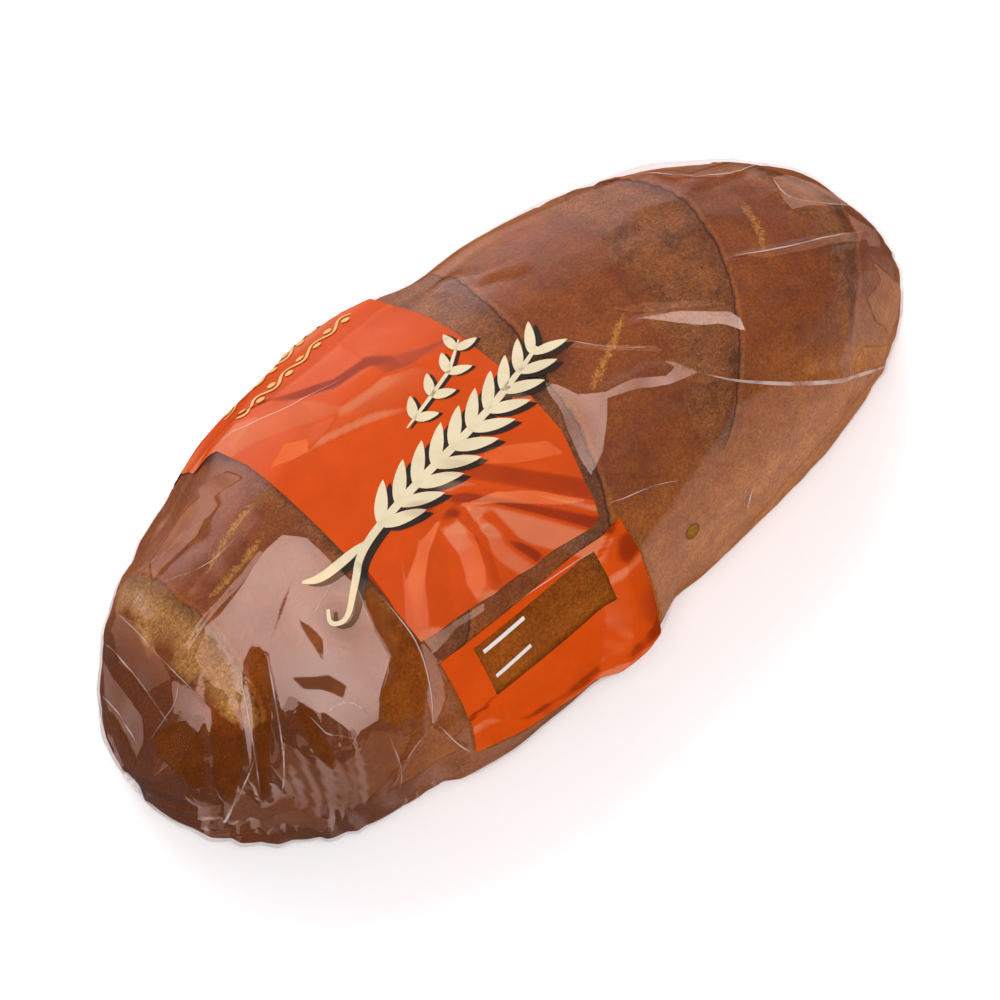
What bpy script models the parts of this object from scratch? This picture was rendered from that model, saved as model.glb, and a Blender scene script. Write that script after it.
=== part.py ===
# Oval hearth loaf, slashed across the top and closed in a clear film bag.
# It lies on its flat base. +X runs along the loaf, +Z is up, metres throughout.
import math

import bmesh
import bpy

# Driving dimensions of the bagged loaf
LOAF_LENGTH = 0.290
LOAF_WIDTH = 0.1315
LOAF_HEIGHT = 0.082
WIDEST_HEIGHT = 0.030
TIP_HEIGHT = 0.014

# Proportions: the loaf is narrower and a little taller towards its far end (+X)
NEAR_SIDE_TAPER = 0.19
FAR_SIDE_TAPER = 0.11
END_SPREAD = 0.096
FAR_END_RISE = 0.05
SIDE_BOW = 0.0037
PLAN_FULLNESS = 2.65
CROWN_FULLNESS = 2.2
BASE_FULLNESS = 5.0
BASE_CUT = 0.005
CROWN_ROUNDNESS = 0.85
CROWN_RISE = 0.9
BASE_ROUNDNESS = 0.62

# Mesh density
RINGS = 70
RING_SIDES = 52

# Slashes: opened bands across the crown, shallow under the film
SLASH_DEPTH = 0.0028
SLASH_LIP_HEIGHT = 0.0016
SLASH_LIP_WIDTH = 0.0060
SLASHES = (
    {"centre_x": -0.117, "slant": 0.02, "half_width": 0.0070, "near_y": -0.036, "far_y": 0.046},
    {"centre_x": -0.060, "slant": 0.02, "half_width": 0.0150, "near_y": -0.050, "far_y": 0.052},
    {"centre_x": -0.007, "slant": 0.08, "half_width": 0.0160, "near_y": -0.050, "far_y": 0.054},
    {"centre_x": 0.059, "slant": 0.36, "half_width": 0.0165, "near_y": -0.053, "far_y": 0.050},
    {"centre_x": 0.115, "slant": 0.38, "half_width": 0.0075, "near_y": -0.044, "far_y": 0.034},
)

# Film: pleats gathered under both ends and one corner that stands off the loaf
PLEAT_START = 0.70
PLEAT_DEPTH = 0.0016
PLEATS_ROUND_END = 13
PLEAT_SMALLEST_RADIUS = 0.02
CORNER_X = -0.003
CORNER_Z = 0.026
CORNER_STAND_OFF = 0.0042
CORNER_REACH_X = 0.012
CORNER_REACH_Z = 0.020

CRUST_COLOUR = (0.21, 0.075, 0.022, 1.0)
CRUST_ROUGHNESS = 0.35


def clear_scene():
    for item in list(bpy.data.objects):
        bpy.data.objects.remove(item, do_unlink=True)


def signed_power(value, exponent):
    return math.copysign(abs(value) ** exponent, value)


def smooth_step(value):
    value = min(max(value, 0.0), 1.0)
    return value * value * (3.0 - 2.0 * value)


def half_width_at(station, near_side):
    """Half the plan width at a station from -1 (near end) to 1 (far end)."""
    plan = max(1.0 - abs(station) ** PLAN_FULLNESS, 0.0) ** 0.5
    taper = NEAR_SIDE_TAPER if near_side else FAR_SIDE_TAPER
    return LOAF_WIDTH / 2 * plan * (1.0 - taper * station + END_SPREAD * station ** 3)


def middle_height_at(station):
    """Height of the widest line of the loaf, which drops towards the ends."""
    return WIDEST_HEIGHT + (TIP_HEIGHT - WIDEST_HEIGHT) * station * station


def crown_height_at(station):
    """Height of the crown above the table."""
    crown = max(1.0 - abs(station) ** CROWN_FULLNESS, 0.0) ** 0.5
    middle = middle_height_at(station)
    return middle + (LOAF_HEIGHT * (1.0 + FAR_END_RISE * station) - middle) * crown


def slash_relief(x, y):
    """Raised or sunk height of the crown where a slash has opened the crust."""
    relief = 0.0
    for slash in SLASHES:
        middle_y = (slash["near_y"] + slash["far_y"]) / 2
        reach_y = (slash["far_y"] - slash["near_y"]) / 2
        along = (y - middle_y) / reach_y
        if abs(along) >= 1.0:
            continue
        leaf = (1.0 - along * along) ** 0.6
        half_width = slash["half_width"] * leaf
        across = abs(x - slash["centre_x"] - slash["slant"] * y)
        inside = 1.0 - smooth_step((across - 0.55 * half_width) / (0.45 * half_width))
        lip = math.exp(-((across - half_width) / SLASH_LIP_WIDTH) ** 2)
        relief += leaf * (SLASH_LIP_HEIGHT * lip - SLASH_DEPTH * inside)
    return relief


def pleat_relief(station, angle):
    """Film gathered at the ends, deepest low down where it tucks under."""
    towards_end = smooth_step((abs(station) - PLEAT_START) / (1.0 - PLEAT_START))
    low_down = smooth_step(0.65 - 0.6 * math.sin(angle))
    ripple = math.sin(PLEATS_ROUND_END * angle + 2.4 * station)
    ripple += 0.5 * math.sin((PLEATS_ROUND_END + 5) * angle - 1.3)
    return PLEAT_DEPTH * towards_end * low_down * ripple


def corner_relief(x, y, z):
    """The film corner that stands off the loaf low on its near side."""
    if y > 0.0:
        return 0.0
    across = (x - CORNER_X) / CORNER_REACH_X
    upright = (z - CORNER_Z) / CORNER_REACH_Z
    return CORNER_STAND_OFF * math.exp(-across * across - upright * upright)


def loaf_point(station, angle):
    """A point of the bagged loaf: angle 0 is the far side (+Y), 90 degrees the crown."""
    x = station * LOAF_LENGTH / 2
    across = math.cos(angle)
    rise = math.sin(angle)
    half_width = half_width_at(station, across < 0.0)
    middle = middle_height_at(station)
    swell = 1.0 + pleat_relief(station, angle) / max(half_width, PLEAT_SMALLEST_RADIUS)
    if rise >= 0.0:
        y = half_width * signed_power(across, CROWN_ROUNDNESS)
        lift = (crown_height_at(station) - middle) * rise ** CROWN_RISE
        lift += slash_relief(x, y) * smooth_step(rise / 0.6)
    else:
        y = half_width * signed_power(across, BASE_ROUNDNESS)
        base = max(1.0 - abs(station) ** BASE_FULLNESS, 0.0) ** 0.5
        lift = -(middle + BASE_CUT) * base * (-rise) ** BASE_ROUNDNESS
    y = y * swell - SIDE_BOW * station * station
    z = max(middle + lift * swell, 0.0)
    y -= corner_relief(x, y, z)
    return x, y, z


def make_loaf_mesh():
    """A sphere with its poles on X, reshaped point by point into the bagged loaf."""
    form = bmesh.new()
    bmesh.ops.create_uvsphere(form, u_segments=RING_SIDES, v_segments=RINGS, radius=1.0)
    for vert in form.verts:
        latitude = math.asin(min(max(vert.co.z, -1.0), 1.0)) / (math.pi / 2)
        station = 0.45 * latitude + 0.55 * math.sin(latitude * math.pi / 2)
        angle = math.atan2(vert.co.y, vert.co.x)
        vert.co = loaf_point(station, angle)
    bmesh.ops.recalc_face_normals(form, faces=form.faces)
    mesh = bpy.data.meshes.new("bagged_loaf")
    form.to_mesh(mesh)
    form.free()
    return mesh


def centre_on_base(mesh):
    """Put the origin under the middle of the mesh's box, on the table."""
    xs = [vert.co.x for vert in mesh.vertices]
    ys = [vert.co.y for vert in mesh.vertices]
    lowest = min(vert.co.z for vert in mesh.vertices)
    middle_x = (min(xs) + max(xs)) / 2
    middle_y = (min(ys) + max(ys)) / 2
    for vert in mesh.vertices:
        vert.co.x -= middle_x
        vert.co.y -= middle_y
        vert.co.z -= lowest


def crust_material():
    material = bpy.data.materials.new("bagged_crust")
    material.use_nodes = True
    shader = material.node_tree.nodes["Principled BSDF"]
    shader.inputs["Base Color"].default_value = CRUST_COLOUR
    shader.inputs["Roughness"].default_value = CRUST_ROUGHNESS
    shader.inputs["Metallic"].default_value = 0.0
    return material


def build():
    clear_scene()
    collection = bpy.data.collections.new("wrapped_bread_loaf")
    bpy.context.scene.collection.children.link(collection)
    mesh = make_loaf_mesh()
    centre_on_base(mesh)
    mesh.materials.append(crust_material())
    loaf = bpy.data.objects.new("bagged_loaf", mesh)
    collection.objects.link(loaf)
    mesh.shade_smooth()


build()
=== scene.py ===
import math

import bmesh
import bpy
import numpy as np
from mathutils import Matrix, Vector


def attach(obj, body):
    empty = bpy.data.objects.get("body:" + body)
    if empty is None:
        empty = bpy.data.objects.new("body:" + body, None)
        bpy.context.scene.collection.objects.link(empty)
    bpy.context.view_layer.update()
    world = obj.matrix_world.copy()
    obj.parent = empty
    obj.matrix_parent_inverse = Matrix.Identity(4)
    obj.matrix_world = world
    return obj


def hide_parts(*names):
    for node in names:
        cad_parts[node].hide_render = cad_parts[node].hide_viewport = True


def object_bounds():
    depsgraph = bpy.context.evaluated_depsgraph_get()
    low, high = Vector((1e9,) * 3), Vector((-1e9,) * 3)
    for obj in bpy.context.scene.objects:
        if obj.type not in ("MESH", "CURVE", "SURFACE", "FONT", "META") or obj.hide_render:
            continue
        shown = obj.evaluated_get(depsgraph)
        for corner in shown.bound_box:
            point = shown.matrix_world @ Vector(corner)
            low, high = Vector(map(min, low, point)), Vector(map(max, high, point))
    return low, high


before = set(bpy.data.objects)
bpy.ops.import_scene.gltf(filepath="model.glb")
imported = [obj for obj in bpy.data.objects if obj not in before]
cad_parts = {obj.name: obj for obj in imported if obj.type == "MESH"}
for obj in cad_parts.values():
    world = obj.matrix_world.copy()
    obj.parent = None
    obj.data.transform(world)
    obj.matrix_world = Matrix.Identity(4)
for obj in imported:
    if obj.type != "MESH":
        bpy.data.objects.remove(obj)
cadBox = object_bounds()

# Oval hearth loaf in a clear printed bag. Everything is laid out on the bag as a flat
# sheet: x runs along the loaf, girth runs round it from the crown (0), positive down
# the near side and negative down the far side. Lengths are in metres, but the outlines of
# the film's patches and creases are in millimetres.

loafForm = {
    "length": 0.290,
    "width": 0.1315,
    "height": 0.082,
    "widestHeight": 0.030,
    "tipHeight": 0.014,
    "nearSideTaper": 0.19,
    "farSideTaper": 0.11,
    "endSpread": 0.096,
    "farEndRise": 0.05,
    "sideBow": 0.0037,
    "planFullness": 2.65,
    "crownFullness": 2.2,
    "baseFullness": 5.0,
    "baseCut": 0.005,
    "crownRoundness": 0.85,
    "crownRise": 0.9,
    "baseRoundness": 0.62,
    "coreHalfLength": 0.085,
    "coreHeight": 0.030,
    "tableSteps": 4001,
    "sideSteps": 801,
}


def loafSurface(station, angle):
    # outer form at a station from -1 to 1 and an angle round it, 90 degrees at the crown
    form = loafForm
    across = np.cos(angle)
    rise = np.sin(angle)
    plan = np.sqrt(np.maximum(1 - np.abs(station) ** form["planFullness"], 0))
    taper = np.where(across < 0, form["nearSideTaper"], form["farSideTaper"])
    spread = 1 - taper * station + form["endSpread"] * station ** 3
    halfWidth = form["width"] / 2 * plan * spread
    middle = form["widestHeight"] + (form["tipHeight"] - form["widestHeight"]) * station ** 2
    crown = np.sqrt(np.maximum(1 - np.abs(station) ** form["crownFullness"], 0))
    up = (form["height"] * (1 + form["farEndRise"] * station) - middle) * crown
    base = np.sqrt(np.maximum(1 - np.abs(station) ** form["baseFullness"], 0))
    down = (middle + form["baseCut"]) * base
    roundness = np.where(rise >= 0, form["crownRoundness"], form["baseRoundness"])
    y = halfWidth * np.sign(across) * np.abs(across) ** roundness
    y = y - form["sideBow"] * station ** 2
    upper = middle + up * np.abs(rise) ** form["crownRise"]
    lower = middle - down * np.abs(rise) ** form["baseRoundness"]
    z = np.maximum(np.where(rise >= 0, upper, lower), 0)
    return station * form["length"] / 2, y, z


def makeGirthTable():
    # girth along the middle section, so that sheet lengths can be turned into angles
    angles = np.linspace(-math.pi / 2, 1.5 * math.pi, loafForm["tableSteps"])
    _, y, z = loafSurface(np.zeros_like(angles), angles)
    girths = np.concatenate([[0.0], np.cumsum(np.hypot(np.diff(y), np.diff(z)))])
    return angles, girths - np.interp(math.pi / 2, angles, girths)


tableAngles, tableGirths = makeGirthTable()
halfGirth = float(tableGirths[-1])
sideStations = np.linspace(-1, 1, loafForm["sideSteps"])
farSide = loafSurface(sideStations, np.zeros_like(sideStations))[1]
sideShift = cadBox[1].y - float(farSide.max())


def sheetToSpace(x, girth, lift):
    # a point of the sheet, lifted off the outer form, in the frame's own place
    station = np.clip(x / (loafForm["length"] / 2), -1, 1)
    angle = np.interp(girth, tableGirths, tableAngles)
    px, py, pz = loafSurface(station, angle)
    core = np.clip(px, -loafForm["coreHalfLength"], loafForm["coreHalfLength"])
    away = np.stack([px - core, py, pz - loafForm["coreHeight"]], axis=-1)
    away = away / np.maximum(np.linalg.norm(away, axis=-1, keepdims=True), 1e-6)
    points = np.stack([px, py, pz], axis=-1) + away * lift[..., None]
    points[..., 1] += sideShift
    return points


def smoothStep(value):
    value = np.clip(value, 0, 1)
    return value * value * (3 - 2 * value)


def fadeIn(value, start, reach):
    # 0 up to the start, 1 once the value is past it by the reach
    return smoothStep((value - start) / reach)


def hashNoise(i, j, seed):
    # one repeatable random number from 0 to 1 for each lattice point
    value = np.sin(i * 127.1 + j * 311.7 + seed * 74.7) * 43758.5453
    return value - np.floor(value)


def smoothNoise(u, v, seed):
    # value noise on a square lattice, from -1 to 1
    i = np.floor(u)
    j = np.floor(v)
    a = smoothStep(u - i)
    b = smoothStep(v - j)
    low = hashNoise(i, j, seed) * (1 - a) + hashNoise(i + 1, j, seed) * a
    high = hashNoise(i, j + 1, seed) * (1 - a) + hashNoise(i + 1, j + 1, seed) * a
    return (low * (1 - b) + high * b) * 2 - 1


def evenNoise(x, girth, size, seed):
    # smooth noise with lumps of one size both ways of the sheet
    return smoothNoise(x / size, girth / size, seed)


def plateNoise(u, v, seed):
    # random heights on a lattice of triangles joined by flat plates, from -1 to 1
    skew = (u + v) * 0.36603
    us = u + skew
    vs = v + skew
    i = np.floor(us)
    j = np.floor(vs)
    a = us - i
    b = vs - j
    right = a > b
    corner = hashNoise(i, j, seed)
    middle = np.where(right, hashNoise(i + 1, j, seed), hashNoise(i, j + 1, seed))
    far = hashNoise(i + 1, j + 1, seed)
    big = np.maximum(a, b)
    small = np.minimum(a, b)
    return (corner * (1 - big) + middle * (big - small) + far * small) * 2 - 1


def gapToSegment(x, girth, start, end):
    # share of the way along a straight piece of a path, and the offset from its nearest point
    wayX, wayG = end - start
    share = ((x - start[0]) * wayX + (girth - start[1]) * wayG) / (wayX ** 2 + wayG ** 2)
    share = np.clip(share, 0, 1)
    return share, x - start[0] - share * wayX, girth - start[1] - share * wayG


def pathDistance(x, girth, path):
    # signed distance to a path in the sheet, and how far along it the nearest point is
    points = np.array(path)
    lengths = np.hypot(*np.diff(points, axis=0).T)
    best = np.full(x.shape, 1e9)
    side = np.zeros(x.shape)
    along = np.zeros(x.shape)
    done = 0.0
    for start, end, length in zip(points[:-1], points[1:], lengths):
        share, offX, offG = gapToSegment(x, girth, start, end)
        wayX, wayG = end - start
        distance = np.hypot(offX, offG)
        closer = distance < best
        side = np.where(closer, np.sign(wayX * offG - wayG * offX), side)
        along = np.where(closer, (done + share * length) / lengths.sum(), along)
        best = np.where(closer, distance, best)
        done += length
    return best * side, along


def makeSheetForm(name, rings, sides):
    # a grid rolled into a closed form with its poles on the loaf's ends
    bm = bmesh.new()
    bmesh.ops.create_grid(bm, x_segments=rings, y_segments=sides, size=1.0)
    for vert in bm.verts:
        tilt = vert.co.x * math.pi / 2
        turn = vert.co.y * math.pi
        vert.co = (math.cos(tilt) * math.cos(turn), math.cos(tilt) * math.sin(turn), math.sin(tilt))
    bmesh.ops.remove_doubles(bm, verts=bm.verts, dist=1e-6)
    mesh = bpy.data.meshes.new(name)
    bm.to_mesh(mesh)
    bm.free()
    flat = np.empty(len(mesh.vertices) * 3)
    mesh.vertices.foreach_get("co", flat)
    unit = flat.reshape(-1, 3)
    latitude = np.arcsin(np.clip(unit[:, 2], -1, 1)) / (math.pi / 2)
    station = 0.55 * latitude + 0.45 * np.sin(latitude * math.pi / 2)
    turn = np.arctan2(unit[:, 1], unit[:, 0]) / math.pi
    girth = np.sign(turn) * halfGirth * (0.62 * np.abs(turn) + 0.38 * np.abs(turn) ** 3)
    return mesh, station * loafForm["length"] / 2, girth


def addToScene(name, mesh, material):
    mesh.shade_smooth()
    mesh.materials.append(material)
    piece = bpy.data.objects.new(name, mesh)
    bpy.context.scene.collection.objects.link(piece)
    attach(piece, "root")
    return piece


def finishPiece(name, mesh, points, material):
    # moves the mesh's points to their places and adds the piece to the scene
    mesh.vertices.foreach_set("co", points.astype(np.float32).ravel())
    bm = bmesh.new()
    bm.from_mesh(mesh)
    bmesh.ops.recalc_face_normals(bm, faces=bm.faces)
    bm.to_mesh(mesh)
    bm.free()
    return addToScene(name, mesh, material)


def addAttribute(mesh, name, values):
    attribute = mesh.attributes.new(name, "FLOAT", "POINT")
    attribute.data.foreach_set("value", values.astype(np.float32))


def addSheetAttribute(mesh, x, girth):
    attribute = mesh.attributes.new("sheet", "FLOAT_VECTOR", "POINT")
    flat = np.stack([x, girth, np.zeros_like(x)], axis=-1)
    attribute.data.foreach_set("vector", flat.astype(np.float32).ravel())


class NodeBench:
    # short ways to add and join the nodes of a material or of the world

    def __init__(self, owner, outputKind="ShaderNodeOutputMaterial"):
        owner.use_nodes = True
        self.owner = owner
        self.tree = owner.node_tree
        self.tree.nodes.clear()
        self.output = self.tree.nodes.new(outputKind)

    def setInput(self, socket, value):
        if hasattr(value, "is_output"):
            self.tree.links.new(value, socket)
        else:
            socket.default_value = value

    def node(self, kind, inputs=None, **settings):
        made = self.tree.nodes.new(kind)
        for key, value in settings.items():
            setattr(made, key, value)
        for key, value in (inputs or {}).items():
            self.setInput(made.inputs[key], value)
        return made

    def finish(self, surface):
        self.setInput(self.output.inputs["Surface"], surface)
        return self.owner

    def attribute(self, name, output="Fac"):
        return self.node("ShaderNodeAttribute", attribute_name=name).outputs[output]

    def objectPlace(self):
        return self.node("ShaderNodeTexCoord").outputs["Object"]

    def mapping(self, vector, scale, turn=(0, 0, 0)):
        inputs = {"Vector": vector, "Scale": scale, "Rotation": turn}
        return self.node("ShaderNodeMapping", inputs).outputs[0]

    def noise(self, vector, scale, detail, roughness=0.55, distortion=0.0):
        inputs = {
            "Vector": vector,
            "Scale": scale,
            "Detail": detail,
            "Roughness": roughness,
            "Distortion": distortion,
        }
        return self.node("ShaderNodeTexNoise", inputs).outputs["Fac"]

    def voronoi(self, vector, scale):
        inputs = {"Vector": vector, "Scale": scale}
        return self.node("ShaderNodeTexVoronoi", inputs).outputs["Distance"]

    def math(self, operation, first, second=0.0):
        return self.node("ShaderNodeMath", {0: first, 1: second}, operation=operation).outputs[0]

    def times(self, first, second):
        return self.math("MULTIPLY", first, second)

    def vectorMath(self, operation, inputs, output=0):
        return self.node("ShaderNodeVectorMath", inputs, operation=operation).outputs[output]

    def span(self, value, low, high, toLow=0.0, toHigh=1.0):
        inputs = {"Value": value, "From Min": low, "From Max": high, "To Min": toLow, "To Max": toHigh}
        return self.node("ShaderNodeMapRange", inputs, interpolation_type="SMOOTHSTEP").outputs[0]

    def nearTo(self, value, centre, outer, inner):
        # 1 within the inner distance of the centre, 0 beyond the outer one
        away = self.math("ABSOLUTE", self.math("SUBTRACT", value, centre))
        return self.span(away, outer, inner)

    def mixValue(self, factor, first, second):
        return self.node("ShaderNodeMix", {0: factor, 2: first, 3: second}).outputs[0]

    def mixColour(self, factor, first, second, blend="MIX"):
        inputs = {0: factor, 6: first, 7: second}
        return self.node("ShaderNodeMix", inputs, data_type="RGBA", blend_type=blend).outputs[2]

    def tint(self, colour, tone, mask, share):
        # lays a tone over the colour by a share of the mask
        return self.mixColour(self.times(mask, share), colour, tone)

    def mixShader(self, factor, first, second):
        inputs = {0: factor, 1: first.outputs[0], 2: second.outputs[0]}
        return self.node("ShaderNodeMixShader", inputs).outputs[0]

    def bump(self, height, strength, distance):
        inputs = {"Height": height, "Strength": strength, "Distance": distance}
        return self.node("ShaderNodeBump", inputs).outputs[0]


# The crust under the film
crust = {
    "rings": 330,
    "sides": 288,
    "depthOnTop": 0.0020,
    "depthOnSides": 0.0011,
    "leastGap": 0.0003,
    "sideGap": 0.0006,
    "followOnSides": 0.75,
    "bottomDepth": 0.0009,
    "bottomGrain": 0.0001,
    "lumps": 0.0006,
    "lumpSize": 0.030,
    "smallLumps": 0.00024,
    "smallLumpSize": 0.011,
    "grain": 0.00012,
    "grainSize": 0.0022,
    # each slash: its middle line is x = at + slant * girth + bend * girth^2
    "slashes": [
        {"at": -0.1175, "slant": 0.00, "bend": 0.0, "half": 0.0072, "middle": -0.020, "reach": 0.058},
        {"at": -0.0610, "slant": 0.00, "bend": 0.0, "half": 0.0168, "middle": -0.006, "reach": 0.060},
        {"at": -0.0065, "slant": -0.12, "bend": 0.0, "half": 0.0165, "middle": -0.008, "reach": 0.072},
        {"at": 0.0623, "slant": -0.25, "bend": -3.0, "half": 0.0165, "middle": -0.010, "reach": 0.070},
        {"at": 0.1183, "slant": -0.06, "bend": -4.4, "half": 0.0095, "middle": 0.005, "reach": 0.059},
    ],
    "slashDrop": 0.0014,
    "slashSwell": 0.0007,
    "lipHeight": 0.0007,
    "lipPlace": 0.0012,
    "lipWidth": 0.0022,
    "grooveDepth": 0.0005,
    "grooveWidth": 0.0009,
    "fibre": 0.00035,
    "edgeWobble": 0.0012,
    # stretched golden cracks along the loaf between the slashes
    "cracks": [
        [(-0.074, -0.025), (-0.088, -0.024), (-0.104, -0.021)],
        [(-0.079, -0.014), (-0.090, -0.012), (-0.108, -0.014)],
        [(0.042, 0.003), (0.030, 0.011), (0.012, 0.021)],
        [(0.100, -0.018), (0.094, 0.004), (0.088, 0.016)],
    ],
    "crackDepth": 0.0006,
    "crackReach": 1.3,  # millimetres
    "tones": {
        "topDark": (0.205, 0.043, 0.0045, 1),
        "topMiddle": (0.300, 0.070, 0.0065, 1),
        "topPale": (0.350, 0.097, 0.0110, 1),
        # the flanks' paleness is partly the crust's own lighter bake and partly painted light
        "flankDark": (0.470, 0.143, 0.012, 1),
        "flankPale": (0.610, 0.212, 0.020, 1),
        # painted shade darkening the left end
        "leftEndShade": (0.110, 0.025, 0.0026, 1),
        "tornDark": (0.200, 0.052, 0.007, 1),
        "tornPale": (0.760, 0.270, 0.060, 1),
        "deepDark": (0.085, 0.022, 0.003, 1),
        "deepPale": (0.400, 0.120, 0.018, 1),
        "goldDark": (0.400, 0.120, 0.015, 1),
        "goldPale": (1.000, 0.560, 0.170, 1),
        "shadow": (0.100, 0.024, 0.005, 1),
        # painted highlight on the raised lip outside a slash's right edge
        "lip": (0.520, 0.180, 0.030, 1),
        # painted shade along the groove at a slash's left edge
        "seamShade": (0.090, 0.024, 0.006, 1),
        # painted shade in the crack at a slash's right edge
        "cutShadow": (0.045, 0.013, 0.005, 1),
        "crack": (0.620, 0.270, 0.045, 1),
        "crackDark": (0.130, 0.032, 0.006, 1),
        "speck": (0.620, 0.340, 0.140, 1),
        "freckle": (0.085, 0.021, 0.005, 1),
        "underVent": (0.330, 0.150, 0.010, 1),
    },
}


def slashShape(slash, x, girth):
    # place across a slash (-1 to 1 between its edges), its leaf width and how far inside
    along = (girth - slash["middle"]) / slash["reach"]
    leaf = np.sqrt(np.clip(1 - along ** 2, 0, 1))
    half = np.maximum(slash["half"] * leaf, 1e-5)
    wobble = crust["edgeWobble"] * smoothNoise(girth / 0.012, x * 0 + slash["at"] * 90, 5)
    middle = slash["at"] + slash["slant"] * girth + slash["bend"] * girth ** 2 + wobble
    return (x - middle) / half, half, leaf


def crustRelief(x, girth):
    # relief of the crust, and its gaps to slashes and cracks for the material
    settings = crust
    relief = settings["lumps"] * evenNoise(x, girth, settings["lumpSize"], 1)
    relief += settings["smallLumps"] * evenNoise(x, girth, settings["smallLumpSize"], 2)
    relief += settings["grain"] * evenNoise(x, girth, settings["grainSize"], 3)
    # the gaps are in millimetres, to the edges of the nearest slash
    inside = np.full(x.shape, -9.0)
    toRight = np.full(x.shape, 9.0)
    toLeft = np.full(x.shape, -9.0)
    lively = np.zeros_like(x)
    for number, slash in enumerate(settings["slashes"]):
        across, half, leaf = slashShape(slash, x, girth)
        live = smoothStep(leaf / 0.30)
        rightGap = (across - 1) * half
        leftGap = (across + 1) * half
        depth = np.minimum(-rightGap, leftGap)
        opened = fadeIn(depth, -0.0008, 0.0022)
        band = settings["slashSwell"] * np.cos(np.clip(across, -1, 1) * math.pi / 2)
        band = band - settings["slashDrop"] * fadeIn(across, 0.1, 0.9) * leaf
        fibres = smoothNoise(x / 0.0050 + girth / 0.004, girth / 0.0016 - x / 0.003, 20 + number)
        fibres += smoothNoise(x / 0.0034 - girth / 0.006, girth / 0.0020 + x / 0.005, 30 + number)
        lip = np.exp(-((rightGap - settings["lipPlace"]) / settings["lipWidth"]) ** 2)
        groove = np.exp(-(leftGap / settings["grooveWidth"]) ** 2)
        relief += live * opened * (band + settings["fibre"] * fibres)
        relief += live * (settings["lipHeight"] * lip - settings["grooveDepth"] * groove)
        nearer = depth * 1000 > inside
        inside = np.where(nearer, depth * 1000, inside)
        toRight = np.where(nearer, rightGap * 1000, toRight)
        toLeft = np.where(nearer, leftGap * 1000, toLeft)
        lively = np.where(nearer, live, lively)
    crackGap = np.full(x.shape, 9.0)
    for path in settings["cracks"]:
        distance, along = pathDistance(x, girth, path)
        fade = smoothStep(np.minimum(along, 1 - along) / 0.25 + 0.1)
        gap = np.abs(distance) * 1000 + 2.5 * (1 - fade)
        relief -= settings["crackDepth"] * np.exp(-(gap / settings["crackReach"]) ** 2)
        crackGap = np.minimum(crackGap, gap)
    return relief, inside, toRight, toLeft, lively, crackGap


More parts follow.
